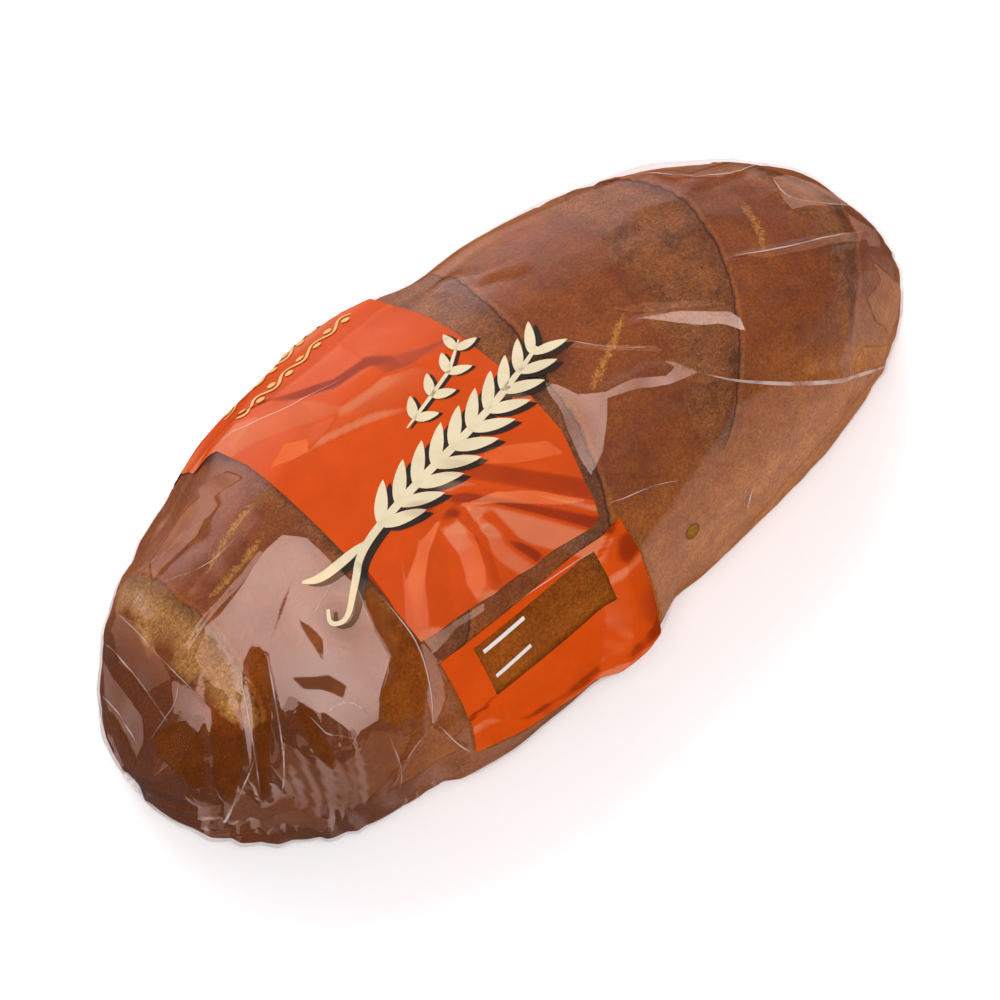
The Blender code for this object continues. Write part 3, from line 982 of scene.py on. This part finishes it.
def fanFold(number):
    # one of the narrow folds gathered at the left bottom
    share = (number + 0.5) / film["fanFolds"]
    chance = [hashNoise(number, turn, 3) for turn in range(7)]
    foot = (-0.100 - 0.038 * share + 0.004 * (chance[1] - 0.5), 0.118)
    bend = (-0.106 - 0.033 * share + 0.006 * (chance[1] - 0.5), 0.085)
    head = (-0.092 - 0.046 * share, 0.052 - 0.020 * chance[2])
    return {
        "path": [head, bend, foot],
        "height": 0.0007 + 0.0009 * chance[4],
        "left": 0.0016 + 0.0020 * chance[5],
        "right": 0.0016 + 0.0016 * chance[6],
    }


def filmLift(x, girth):
    # how far the film stands off the loaf's outer form
    settings = film
    down = np.abs(girth)
    lift = np.maximum(facetLift(x, girth), settings["cling"]) + settings["slack"]
    # small crumples at the left end, the right tip and low on the sides
    warpX = x + 0.0035 * evenNoise(x, girth, 0.020, 41)
    warpG = girth + 0.0035 * evenNoise(x, girth, 0.020, 42)
    low = fadeIn(down, 0.062, 0.025) * fadeIn(-down, -0.125, 0.02)
    ends = fadeIn(-x, 0.070, 0.03) + fadeIn(x, 0.105, 0.02)
    crumpled = np.clip(0.25 * ends + low * (0.35 + ends), 0, 1)
    crumples = plateNoise(warpX / 0.0085, warpG / 0.0160, 44)
    crumples += 0.5 * plateNoise(warpX / 0.0050 + 3, warpG / 0.0080, 46)
    lift = lift + settings["crumpleHeight"] * crumpled * crumples
    for number in range(settings["fanFolds"]):
        lift = lift + foldLift(x, girth, fanFold(number))
    # long soft waves along the right half
    smooth = fadeIn(x, -0.01, 0.03) * fadeIn(-down, -0.075, 0.03)
    waves = smoothNoise(x / 0.055 + 2, warpG / 0.0085, 47)
    waves += 0.5 * smoothNoise(x / 0.030, warpG / 0.0050, 48)
    lift = lift + settings["waveHeight"] * smooth * waves
    for fold in settings["folds"]:
        lift = lift + foldLift(x, girth, fold)
    # gathers at both ends
    station = np.abs(x) / (loafForm["length"] / 2)
    gathered = fadeIn(station, 0.72, 0.28) * fadeIn(down, 0.03, 0.05)
    turn = girth / halfGirth * math.pi
    phase = 2.0 * smoothNoise(turn * 1.7, np.sign(x) * 3.0, 45)
    ripple = np.abs(np.sin(settings["pleats"] * turn / 2 + phase)) * 2 - 1
    lift = lift + settings["pleatHeight"] * gathered * ripple
    for placeX, placeG, reachX, reachG, depth in settings["hollows"]:
        lift = lift - depth * np.exp(-((x - placeX) / reachX) ** 2 - ((girth - placeG) / reachG) ** 2)
    cornerX, cornerG = settings["corner"]
    corner = ((x - cornerX) / 0.013) ** 2 + ((girth - cornerG) / 0.022) ** 2
    return lift + settings["cornerStandOff"] * np.exp(-corner)


def filmPoints(x, girth, offset):
    points = sheetToSpace(x, girth, filmLift(x, girth) + offset)
    points[..., 2] = np.maximum(points[..., 2], film["bottomGap"] - np.minimum(offset, 0))
    return points


def makeFilmMaterial():
    bench = NodeBench(bpy.data.materials.new("clearFilm"))
    sheet = bench.attribute("sheet", "Vector")
    normal, mask = plateNormal(bench, sheet)
    shine = bench.node("ShaderNodeBsdfGlossy", {
        "Color": (1.0, 0.90, 0.87, 1),
        "Roughness": 0.03,
        "Normal": normal,
    })
    clear = bench.node("ShaderNodeBsdfTransparent", {"Color": (0.985, 0.975, 0.97, 1)})
    fresnel = bench.node("ShaderNodeFresnel", {"IOR": 1.75, "Normal": normal})
    gloss = bench.math("MINIMUM", fresnel.outputs[0], film["mostGloss"])
    gloss = bench.mixValue(mask, gloss, bench.times(bench.attribute("plateShine"), film["mostGloss"]))
    kept = bench.span(bench.attribute("clearGap"), -0.25, 0.25, 1.0, 1.0 - plates["clearing"])
    outsideVent = bench.math("GREATER_THAN", ventDistance(bench, sheet), vent["radius"])
    amount = bench.times(bench.times(gloss, kept), outsideVent)
    return bench.finish(bench.mixShader(amount, clear, shine))


def makeFilm():
    mesh, x, girth = makeSheetForm("filmMesh", film["rings"], film["sides"])
    addSheetAttribute(mesh, x, girth)
    markPlates(mesh, x, girth)
    piece = finishPiece("film", mesh, filmPoints(x, girth, 0.0), makeFilmMaterial())
    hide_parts("bagged_loaf")


# Painted highlights along sharp creases, laid as pale strips on the film: width at the middle and the line,
# in millimetres
creaseHighlights = {
    "offset": 0.00055,
    "opacity": 0.50,
    "thin": 0.62,
    "steps": 150,
    "lines": [
        (0.4, [(-108.5, 13.5), (-112.5, 18.5), (-116.5, 30.5), (-122, 50), (-125.5, 68)]),
        (0.6, [(-103, 17.5), (-106.5, 25.5), (-110.5, 36.5), (-113.5, 45.5), (-119, 64)]),
        (0.35, [(-73.5, 19.5), (-77.5, 32.5), (-78.5, 43), (-85.5, 49.5)]),
        (0.5, [(-72, 19.5), (-70, 32), (-70, 44.5), (-74, 57.5), (-79, 70.5)]),
        (0.3, [(-78, 14.5), (-84.5, 17.5), (-91, 18.5)]),
        (0.45, [(-128, -61.5), (-131, -24.5), (-132, 9.5)]),
        (0.45, [(-137, -60.5), (-139.5, -29.5), (-140.5, 0.5)]),
        (0.4, [(-124, -0.5), (-129, 6), (-138.5, 5)]),
        (0.6, [(-131, 67), (-126.5, 55.5), (-121, 46.5)]),
        (0.8, [(-135, 81.5), (-132, 69.5), (-127.5, 55)]),
        (0.5, [(-121, 69.5), (-116.5, 54.5), (-113, 46)]),
        (0.7, [(-101, 45.5), (-94, 44.5), (-91.5, 52.5)]),
        (0.4, [(-104.5, 42.5), (-102.5, 54.5), (-93.5, 56.5)]),
        (0.4, [(-90, 62), (-90, 75), (-93, 89.5)]),
        (0.45, [(-78, 66), (-87, 73.5), (-94.5, 83)]),
        (0.5, [(-77, 67), (-73, 82.5), (-66, 96.5)]),
        (0.35, [(-121.5, -55.5), (-123.5, -24.5), (-123.5, -5), (-123, 12)]),
        (0.6, [(-113.5, -58), (-103.5, -43.5), (-91.5, -36)]),
        (0.3, [(-110, -34), (-100, -20.5), (-86.5, -18)]),
        (1.9, [(43, 34), (51, 42.5), (61, 50.5), (75.5, 61), (90, 69.5), (105, 81), (118, 98)]),
        (1.1, [(77.5, 9), (91, 15.5), (104, 19.5), (118, 24.5), (133, 29)]),
        (0.7, [(111.5, -18.5), (108.5, -5), (117, 5), (133.5, 5), (137, 13)]),
        (0.8, [(81, -48.5), (87, -32.5), (99, -26), (119, -32)]),
        (0.9, [(41.5, 87), (42.5, 81.5), (45, 79)]),
        (0.45, [(-4, 47), (4.5, 49.5), (13, 52), (20, 55.5)]),
        (0.4, [(19, 1), (25.5, 9.5), (33, 16.5), (39.5, 20.5)]),
        (0.4, [(-73, -52), (-61, -43.5), (-50, -36), (-32, -31.5)]),
        (0.45, [(-44, 51.5), (-26, 53.5), (-5, 56)]),
    ],
}


def softenPath(path, rounds=2):
    # cuts the corners of a path, so that it bends instead of breaking
    for _ in range(rounds):
        softer = [path[0]]
        for (x0, g0), (x1, g1) in zip(path[:-1], path[1:]):
            softer.append((0.75 * x0 + 0.25 * x1, 0.75 * g0 + 0.25 * g1))
            softer.append((0.25 * x0 + 0.75 * x1, 0.25 * g0 + 0.75 * g1))
        softer.append(path[-1])
        path = softer
    return path


def makeCreaseHighlights():
    bm = bmesh.new()
    for width, path in creaseHighlights["lines"]:
        line = [(0.001 * placeX, 0.001 * placeG) for placeX, placeG in path]
        highlightStrip = ribbonGrid(softenPath(line), 0.001 * width * creaseHighlights["thin"], creaseHighlights["steps"], 1.0)
        addPiece(bm, highlightStrip)
    # pale strips that stand in for the light caught by the creases: painted highlights
    bench = NodeBench(bpy.data.materials.new("filmCreaseHighlight"))
    shade = bench.noise(bench.attribute("sheet", "Vector"), 60.0, 2.0)
    pale = bench.node("ShaderNodeBsdfPrincipled", {
        "Base Color": (0.95, 0.82, 0.76, 1),
        "Roughness": bench.span(shade, 0.3, 0.7, 0.30, 0.40),
    })
    clear = bench.node("ShaderNodeBsdfTransparent")
    amount = bench.span(shade, 0.40, 0.60, 0.25 * creaseHighlights["opacity"], creaseHighlights["opacity"])
    material = bench.finish(bench.mixShader(amount, clear, pale))
    layOnFilm("filmCreaseHighlights", bm, material, creaseHighlights["offset"])


# The punched vent hole
vent = {
    "place": (0.019, 0.075, 0.0),
    "radius": 0.0025,
    "rim": 0.00045,
    "sides": 32,
    "offset": 0.0001,
}


def ventDistance(bench, sheet):
    return bench.vectorMath("DISTANCE", {0: sheet, 1: vent["place"]}, "Value")


def makeVentRim():
    # a thin raised ring round the hole, made as a narrow closed ribbon
    settings = vent
    path = []
    for number in range(settings["sides"] + 1):
        turn = 2 * math.pi * number / settings["sides"]
        path.append((settings["place"][0] + settings["radius"] * math.cos(turn),
                     settings["place"][1] + settings["radius"] * math.sin(turn)))
    rim = ribbonGrid(path, settings["rim"], settings["sides"] * 2)
    layOnFilm("ventRim", rim, makePrintMaterial("ventEdge"), settings["offset"])


# The orange print: a band over the crown and a date panel with a clear window below it
printed = {
    "offset": 0.00025,
    "shadowOffset": 0.00040,
    "inkOffset": 0.00055,
    "spacing": 0.0009,
    "bandSteps": 200,
    "mostGloss": 0.085,
    "patchGloss": 0.10,
    # each ink's colour, roughness and how strongly the painted fold shade and light lie on it
    "inks": {
        "orangeInk": ((0.630, 0.068, 0.003, 1), 0.14, 0.80),
        "creamInk": ((0.780, 0.680, 0.450, 1), 0.30, 0.35),
        "shadowInk": ((0.022, 0.016, 0.014, 1), 0.30, 0.35),
        "paleInk": ((0.800, 0.500, 0.190, 1), 0.30, 0.35),
        "whiteInk": ((0.800, 0.760, 0.700, 1), 0.30, 0.35),
        "ventEdge": ((0.13, 0.05, 0.012, 1), 0.20, 0.35),
    },
    # the painted fold shade: the reach of the slope that sets it, its contrast and the way towards the light
    # in the sheet
    "foldReach": 0.0008,
    "foldContrast": 3.2,
    "foldWay": (-0.55, 0.83),
    # the band's edges, as pairs of girth and x
    "leftEdge": [(-0.150, -0.080), (-0.061, -0.080), (-0.050, -0.073), (-0.035, -0.0715),
                 (0.050, -0.0690)],
    "rightEdge": [(-0.150, -0.006), (-0.051, -0.005), (-0.030, -0.0025), (0.002, 0.0),
                  (0.023, 0.0), (0.050, -0.007)],
    "farEdge": -0.150,
    "nearEdgeLeft": 0.044,
    "nearEdgeRight": 0.049,
    "panel": {"left": -0.068, "right": -0.0015, "top": 0.0525, "bottomLeft": 0.092, "bottomRight": 0.107},
    "window": {"left": -0.058, "right": -0.0135, "top": 0.0550, "bottom": 0.0720},
    "bars": [((-0.056, 0.0575), (-0.041, 0.0570)), ((-0.056, 0.0662), (-0.043, 0.0652))],
    "barWidth": 0.0012,
}

# A wheat ear lies along the band, with a dark shadow under it
ear = {
    "stem": [(-0.0835, 0.0200), (-0.0860, 0.0240), (-0.0815, 0.0265), (-0.0745, 0.0200), (-0.0660, 0.0125),
             (-0.0450, 0.0090), (-0.0200, 0.0065), (0.0000, 0.0025), (0.0120, -0.0020)],
    "stemWidth": 0.0024,
    "tail": [(-0.0840, 0.0085), (-0.0800, 0.0115), (-0.0730, 0.0120), (-0.0640, 0.0120)],
    "grains": 10,
    "from": 0.34,
    "to": 0.97,
    "grainLength": 0.0140,
    "grainWidth": 0.0038,
    "grainTurn": 34,
    "shadow": (0.0010, 0.0020),
}

# A small sprig above it and a scroll on the back slope
sprig = {
    "stem": [(-0.033, -0.006), (-0.022, -0.009), (-0.012, -0.012), (-0.003, -0.019)],
    "stemWidth": 0.0011,
    "leaves": 4,
    "firstLeaf": 0.10,
    "leafStep": 0.26,
    "leafLength": 0.0075,
    "leafWidth": 0.0030,
    "leafTurn": 42,
    "shadow": (0.0008, 0.0008),
}
scroll = {
    "start": (-0.063, -0.050),
    "end": (-0.014, -0.060),
    "waves": 4.0,
    "height": 0.0042,
    "width": 0.0012,
    "rows": [0.0, -0.012],
    "steps": 80,
    "dotShift": 0.0012,
    "dotRadius": 0.0014,
}


def makePrintMaterial(name):
    # ink under the film, with painted shade on fold flanks turned away from the light and painted light on
    # the others
    colour, roughness, depth = printed["inks"][name]
    bench = NodeBench(bpy.data.materials.new(name))
    sheet = bench.attribute("sheet", "Vector")
    normal, mask = plateNormal(bench, sheet)
    shade = bench.span(bench.noise(sheet, 90.0, 3.0), 0.3, 0.7, 0.94, 1.04)
    tint = bench.node("ShaderNodeHueSaturation", {"Color": colour, "Value": shade}).outputs[0]
    turned = bench.attribute("turned")
    dark = bench.mixColour(depth, tint, (0.34, 0.20, 0.20, 1), "MULTIPLY")
    light = bench.mixColour(0.26 * depth, tint, (1.0, 0.62, 0.36, 1))
    # painted shade on flanks turned away from the light, painted light on those turned to it
    tint = bench.mixColour(bench.span(turned, -0.12, -1.0), tint, dark)
    tint = bench.mixColour(bench.span(turned, 0.12, 1.0), tint, light)
    base = bench.node("ShaderNodeBsdfDiffuse", {"Color": tint})
    shine = bench.node("ShaderNodeBsdfGlossy", {
        "Color": bench.mixColour(mask, (1.0, 0.80, 0.66, 1), (1.0, 0.60, 0.32, 1)),
        "Roughness": roughness,
        "Normal": normal,
    })
    fresnel = bench.node("ShaderNodeFresnel", {"IOR": 1.5, "Normal": normal})
    gloss = bench.math("MINIMUM", fresnel.outputs[0], printed["mostGloss"])
    patchGloss = bench.times(bench.attribute("plateShine"), printed["patchGloss"])
    gloss = bench.mixValue(mask, gloss, patchGloss)
    return bench.finish(bench.mixShader(gloss, base, shine))


def markFolds(mesh, x, girth):
    # how far each point of the print is turned to (1) or away from (-1) the light by the folds, which sets
    # the painted fold shade and light
    dx, dg = np.array(printed["foldWay"]) * printed["foldReach"]
    drop = filmLift(x - dx, girth - dg) - filmLift(x + dx, girth + dg)
    slope = drop / (2 * printed["foldReach"])
    addAttribute(mesh, "turned", np.clip(slope * printed["foldContrast"], -1, 1))


def flatGrid(left, right, top, bottom, spacing):
    # a flat grid in the sheet, x along and girth across
    bm = bmesh.new()
    columns = max(1, round((right - left) / spacing))
    rows = max(1, round((bottom - top) / spacing))
    bmesh.ops.create_grid(bm, x_segments=columns, y_segments=rows, size=0.5)
    for vert in bm.verts:
        vert.co.x = left + (vert.co.x + 0.5) * (right - left)
        vert.co.y = top + (vert.co.y + 0.5) * (bottom - top)
    return bm


def measurePath(path):
    points = np.array(path)
    lengths = np.concatenate([[0], np.cumsum(np.hypot(*np.diff(points, axis=0).T))])
    return points[:, 0], points[:, 1], lengths


def placeOnPath(measured, share, reach):
    # a place on a measured path, and the way that the path goes there
    xs, girths, lengths = measured
    here = share * lengths[-1]
    stops = (here, here - reach, here + reach)
    x, xBefore, xAfter = np.interp(stops, lengths, xs)
    girth, girthBefore, girthAfter = np.interp(stops, lengths, girths)
    return float(x), float(girth), math.atan2(girthAfter - girthBefore, xAfter - xBefore)


def ribbonGrid(path, width, steps, taper=0.0):
    # a flat ribbon along a path in the sheet, narrowed towards its ends by the taper
    measured = measurePath(path)
    reach = measured[2][-1] * 0.02
    bm = bmesh.new()
    bmesh.ops.create_grid(bm, x_segments=steps, y_segments=2, size=0.5)
    for vert in bm.verts:
        share = vert.co.x + 0.5
        x, girth, heading = placeOnPath(measured, share, reach)
        side = vert.co.y * width * (1 - taper * abs(2 * share - 1) ** 3)
        vert.co = (x - math.sin(heading) * side, girth + math.cos(heading) * side, 0)
    return bm


def leafGrid(bm, x, girth, length, width, turn):
    # adds a pointed leaf with its foot at a place of the sheet
    made = bmesh.ops.create_grid(bm, x_segments=10, y_segments=4, size=0.5)
    for vert in made["verts"]:
        along = vert.co.x + 0.5
        half = width * math.sin(math.pi * along ** 0.8) ** 0.75
        sideways = vert.co.y * half
        ahead = along * length
        vert.co.x = x + ahead * math.cos(turn) - sideways * math.sin(turn)
        vert.co.y = girth + ahead * math.sin(turn) + sideways * math.cos(turn)


def layOnFilm(name, bm, material, offset, shift=(0, 0)):
    # lays a flat piece of the sheet on the film's own surface
    mesh = bpy.data.meshes.new(name + "Mesh")
    bmesh.ops.translate(bm, verts=bm.verts, vec=(*shift, 0))
    bm.to_mesh(mesh)
    bm.free()
    flat = np.empty(len(mesh.vertices) * 3)
    mesh.vertices.foreach_get("co", flat)
    x, girth = flat[0::3].copy(), flat[1::3].copy()
    addSheetAttribute(mesh, x, girth)
    markPlates(mesh, x, girth)
    markFolds(mesh, x, girth)
    mesh.vertices.foreach_set("co", filmPoints(x, girth, offset).astype(np.float32).ravel())
    mesh.flip_normals()
    addToScene(name, mesh, material)


def addLeafPair(bm, measured, share, length, width, spread):
    # two leaves at one place of a stem, one to each side
    x, girth, heading = placeOnPath(measured, share, 0.002)
    for side in (-1, 1):
        leafGrid(bm, x, girth, length, width, heading + side * math.radians(spread))


def drawEar():
    stem = softenPath(ear["stem"], 3)
    bm = ribbonGrid(stem, ear["stemWidth"], 120, 0.6)
    addPiece(bm, ribbonGrid(softenPath(ear["tail"]), ear["stemWidth"] * 1.2, 40, 0.8))
    measured = measurePath(stem)
    for number in range(ear["grains"]):
        share = ear["from"] + (ear["to"] - ear["from"]) * number / (ear["grains"] - 1)
        size = 0.82 + 0.18 * math.sin(math.pi * share)
        length, width = ear["grainLength"] * size, ear["grainWidth"] * size
        addLeafPair(bm, measured, share, length, width, ear["grainTurn"])
    return bm


def drawSprig():
    bm = ribbonGrid(sprig["stem"], sprig["stemWidth"], 50, 0.6)
    measured = measurePath(sprig["stem"])
    for number in range(sprig["leaves"]):
        share = sprig["firstLeaf"] + sprig["leafStep"] * number
        addLeafPair(bm, measured, share, sprig["leafLength"], sprig["leafWidth"], sprig["leafTurn"])
    return bm


def addPiece(bm, other):
    # joins another flat piece to this one
    mesh = bpy.data.meshes.new("joined")
    other.to_mesh(mesh)
    other.free()
    bm.from_mesh(mesh)
    bpy.data.meshes.remove(mesh)


def drawScroll():
    # rows of a wave with a dot in each of its bends
    bm = bmesh.new()
    (x0, g0), (x1, g1) = scroll["start"], scroll["end"]
    dots = int(scroll["waves"] * 2)
    for row in scroll["rows"]:
        path = []
        for share in np.linspace(0, 1, scroll["steps"] + 1):
            wave = scroll["height"] * math.sin(share * scroll["waves"] * 2 * math.pi) / 2
            path.append((x0 + (x1 - x0) * share, g0 + (g1 - g0) * share + row + wave))
        addPiece(bm, ribbonGrid(path, scroll["width"], scroll["steps"] * 2, 0.4))
        for number in range(dots):
            share = (number + 0.5) / dots
            side = scroll["dotShift"] if number % 2 else -scroll["dotShift"]
            place = (x0 + (x1 - x0) * share, g0 + (g1 - g0) * share + row + side, 0)
            made = bmesh.ops.create_circle(bm, cap_ends=True, segments=14, radius=scroll["dotRadius"])
            bmesh.ops.translate(bm, verts=made["verts"], vec=place)
    return bm


def makeBand(orange):
    settings = printed
    band = flatGrid(0, 1, 0, 1, 1 / settings["bandSteps"])
    leftGirths, leftXs = zip(*settings["leftEdge"])
    rightGirths, rightXs = zip(*settings["rightEdge"])
    for vert in band.verts:
        across, down = vert.co.x, vert.co.y
        near = settings["nearEdgeLeft"] + (settings["nearEdgeRight"] - settings["nearEdgeLeft"]) * across
        girth = settings["farEdge"] + (near - settings["farEdge"]) * down
        left = float(np.interp(girth, leftGirths, leftXs))
        right = float(np.interp(girth, rightGirths, rightXs))
        vert.co.x = left + (right - left) * across
        vert.co.y = girth
    layOnFilm("printedBand", band, orange, settings["offset"])


def makePanel(orange):
    settings = printed
    panel = settings["panel"]
    window = settings["window"]
    bm = flatGrid(panel["left"], panel["right"], panel["top"], panel["bottomLeft"], settings["spacing"])
    cuts = [((window["left"], 0, 0), (1, 0, 0)), ((window["right"], 0, 0), (1, 0, 0)),
            ((0, window["top"], 0), (0, 1, 0)), ((0, window["bottom"], 0), (0, 1, 0))]
    for point, normal in cuts:
        geometry = bm.verts[:] + bm.edges[:] + bm.faces[:]
        bmesh.ops.bisect_plane(bm, geom=geometry, plane_co=point, plane_no=normal)
    inside = []
    for face in bm.faces:
        centre = face.calc_center_median()
        if window["left"] < centre.x < window["right"] and window["top"] < centre.y < window["bottom"]:
            inside.append(face)
    bmesh.ops.delete(bm, geom=inside, context="FACES")
    for vert in bm.verts:
        if vert.co.y > window["bottom"]:
            share = (vert.co.x - panel["left"]) / (panel["right"] - panel["left"])
            bottom = panel["bottomLeft"] + (panel["bottomRight"] - panel["bottomLeft"]) * share
            down = (vert.co.y - window["bottom"]) / (panel["bottomLeft"] - window["bottom"])
            vert.co.y = window["bottom"] + down * (bottom - window["bottom"])
    layOnFilm("datePanel", bm, orange, settings["offset"])


def makePrint():
    orange = makePrintMaterial("orangeInk")
    cream = makePrintMaterial("creamInk")
    black = makePrintMaterial("shadowInk")
    white = makePrintMaterial("whiteInk")
    below, above = printed["shadowOffset"], printed["inkOffset"]
    makeBand(orange)
    makePanel(orange)
    layOnFilm("earShadow", drawEar(), black, below, ear["shadow"])
    layOnFilm("ear", drawEar(), cream, above)
    layOnFilm("sprigShadow", drawSprig(), black, below, sprig["shadow"])
    layOnFilm("sprig", drawSprig(), cream, above)
    layOnFilm("scroll", drawScroll(), makePrintMaterial("paleInk"), above)
    for number, bar in enumerate(printed["bars"]):
        ribbon = ribbonGrid(bar, printed["barWidth"], 20)
        layOnFilm("dateBar" + str(number), ribbon, white, above)


# Floor, light and camera
studio = {
    "floorSize": 6.0,
    "floorColour": (0.95, 0.95, 0.955, 1),
    "floorShade": (0.94, 0.94, 0.945, 1),
    "floorGlow": 0.30,
    # the room's haze: direction, how near it the haze begins and is full, and both strengths
    "haze": ((0.28, 0.55, 0.79), 0.15, 0.80, 0.16, 0.36),
    # further pale parts of the room: direction, how near they begin and are full, and strength
    "glows": [
        ((0.32, 0.94, 0.10), 0.68, 0.98, 0.60),
        ((-0.05, 0.95, 0.30), 0.87, 0.98, 0.80),
        ((0.34, -0.84, 0.36), 0.60, 0.97, 0.10),
        ((0.62, -0.60, -0.50), 0.60, 0.99, 0.50),
    ],
    "hazeColour": (1.0, 0.86, 0.90, 1),
    "cards": [
        {"name": "leftCard", "mirror": (-0.42, -0.25, 0.870), "half": 15, "radiance": 2.2},
        {"name": "lowLeftCard", "mirror": (-0.66, -0.40, 0.63), "half": 13, "radiance": 0.6},
        {"name": "lowFrontCard", "mirror": (-0.20, -0.78, 0.60), "half": 14, "radiance": 0.3},
    ],
    "cardDistance": 1.5,
    "cardColour": (1.0, 0.80, 0.74),
    "fills": [
        {"name": "keyFill", "direction": (-0.35, -0.45, 0.85), "size": 1.2, "irradiance": 0.51},
        {"name": "backFill", "direction": (0.35, 0.75, 0.75), "size": 1.6, "irradiance": 0.35},
    ],
    "fillDistance": 2.2,
    "azimuth": -40.3,
    "elevation": 60.0,
    "distance": 1.1,
    "aimHeight": 0.040,
    "focalPixels": 3731.0,
    "imagePixels": 1000.0,
    "centrePixelX": 509.0,
    "centrePixelY": 449.3,
    "sensor": 36.0,
}


def cameraBack():
    azimuth = math.radians(studio["azimuth"])
    elevation = math.radians(studio["elevation"])
    level = math.cos(elevation)
    return Vector((math.sin(azimuth) * level, -math.cos(azimuth) * level, math.sin(elevation)))


def makeFloor():
    bm = bmesh.new()
    bmesh.ops.create_grid(bm, x_segments=1, y_segments=1, size=studio["floorSize"] / 2)
    mesh = bpy.data.meshes.new("floorMesh")
    bm.to_mesh(mesh)
    bm.free()
    floor = bpy.data.objects.new("floor", mesh)
    bpy.context.scene.collection.objects.link(floor)
    bench = NodeBench(bpy.data.materials.new("whiteTable"))
    grey = bench.noise(bench.objectPlace(), 3.0, 2.0)
    colour = bench.mixColour(grey, studio["floorColour"], studio["floorShade"])
    white = bench.node("ShaderNodeBsdfDiffuse", {"Color": colour})
    glow = bench.node("ShaderNodeEmission", {"Color": colour, "Strength": studio["floorGlow"]})
    shader = bench.node("ShaderNodeAddShader", {0: white.outputs[0], 1: glow.outputs[0]})
    mesh.materials.append(bench.finish(shader.outputs[0]))
    floor.visible_glossy = False


def roomGlow(bench, place, direction, begin, end, low, high):
    # strength of a pale part of the room, by how near its direction a ray comes
    towards = Vector(direction).normalized()
    facing = bench.vectorMath("DOT_PRODUCT", {0: place, 1: towards}, "Value")
    return bench.span(facing, begin, end, low, high)


def makeWorld():
    # a pale room, brighter above the back and dim in front near the horizon
    world = bpy.data.worlds.new("studio")
    bpy.context.scene.world = world
    bench = NodeBench(world, "ShaderNodeOutputWorld")
    place = bench.node("ShaderNodeTexCoord").outputs["Generated"]
    strength = roomGlow(bench, place, *studio["haze"])
    for direction, begin, end, amount in studio["glows"]:
        glow = roomGlow(bench, place, direction, begin, end, 0.0, amount)
        strength = bench.math("ADD", strength, glow)
    inputs = {"Color": studio["hazeColour"], "Strength": strength}
    bench.finish(bench.node("ShaderNodeBackground", inputs).outputs[0])


def addLamp(name, direction, distance, size, power):
    light = bpy.data.lights.new(name, "AREA")
    light.shape = "SQUARE"
    light.size = size
    light.energy = power
    lamp = bpy.data.objects.new(name, light)
    way = Vector(direction).normalized()
    lamp.location = Vector((0, 0, studio["aimHeight"])) + way * distance
    lamp.rotation_euler = (-way).to_track_quat("-Z", "Y").to_euler()
    bpy.context.scene.collection.objects.link(lamp)
    return lamp


def makeLights():
    # reflection cards show only in the film's gloss, fills light the scene without showing in it
    view = cameraBack()
    for card in studio["cards"]:
        normal = Vector(card["mirror"]).normalized()
        direction = 2 * normal.dot(view) * normal - view
        size = 2 * studio["cardDistance"] * math.tan(math.radians(card["half"]))
        power = card["radiance"] * math.pi * size ** 2
        lamp = addLamp(card["name"], direction, studio["cardDistance"], size, power)
        lamp.data.color = studio["cardColour"]
        lamp.visible_diffuse = False
    for fill in studio["fills"]:
        height = Vector(fill["direction"]).normalized().z
        power = fill["irradiance"] * math.pi * studio["fillDistance"] ** 2 * math.pi / height
        lamp = addLamp(fill["name"], fill["direction"], studio["fillDistance"], fill["size"], power)
        lamp.visible_glossy = False


def addCamera():
    back = cameraBack()
    azimuth = math.radians(studio["azimuth"])
    right = Vector((math.cos(azimuth), math.sin(azimuth), 0))
    up = back.cross(right)
    metresPerPixel = studio["distance"] / studio["focalPixels"]
    middle = studio["imagePixels"] / 2
    aim = Vector((0, sideShift, studio["aimHeight"]))
    aim -= right * (studio["centrePixelX"] - middle) * metresPerPixel
    aim += up * (studio["centrePixelY"] - middle) * metresPerPixel
    data = bpy.data.cameras.new("camera")
    data.sensor_width = studio["sensor"]
    data.lens = studio["focalPixels"] / studio["imagePixels"] * studio["sensor"]
    data.clip_start = 0.01
    camera = bpy.data.objects.new("camera", data)
    camera.location = aim + back * studio["distance"]
    camera.rotation_euler = back.to_track_quat("Z", "Y").to_euler()
    bpy.context.scene.collection.objects.link(camera)
    bpy.context.scene.camera = camera


addCamera()
makeFloor()
makeWorld()
makeLights()
print("studio ready")
makeCrust()
print("crust done")
makeFilm()
makeCreaseHighlights()
makeVentRim()
print("film done")
makePrint()
print("print done")
bpy.context.scene.view_settings.view_transform = "Standard"
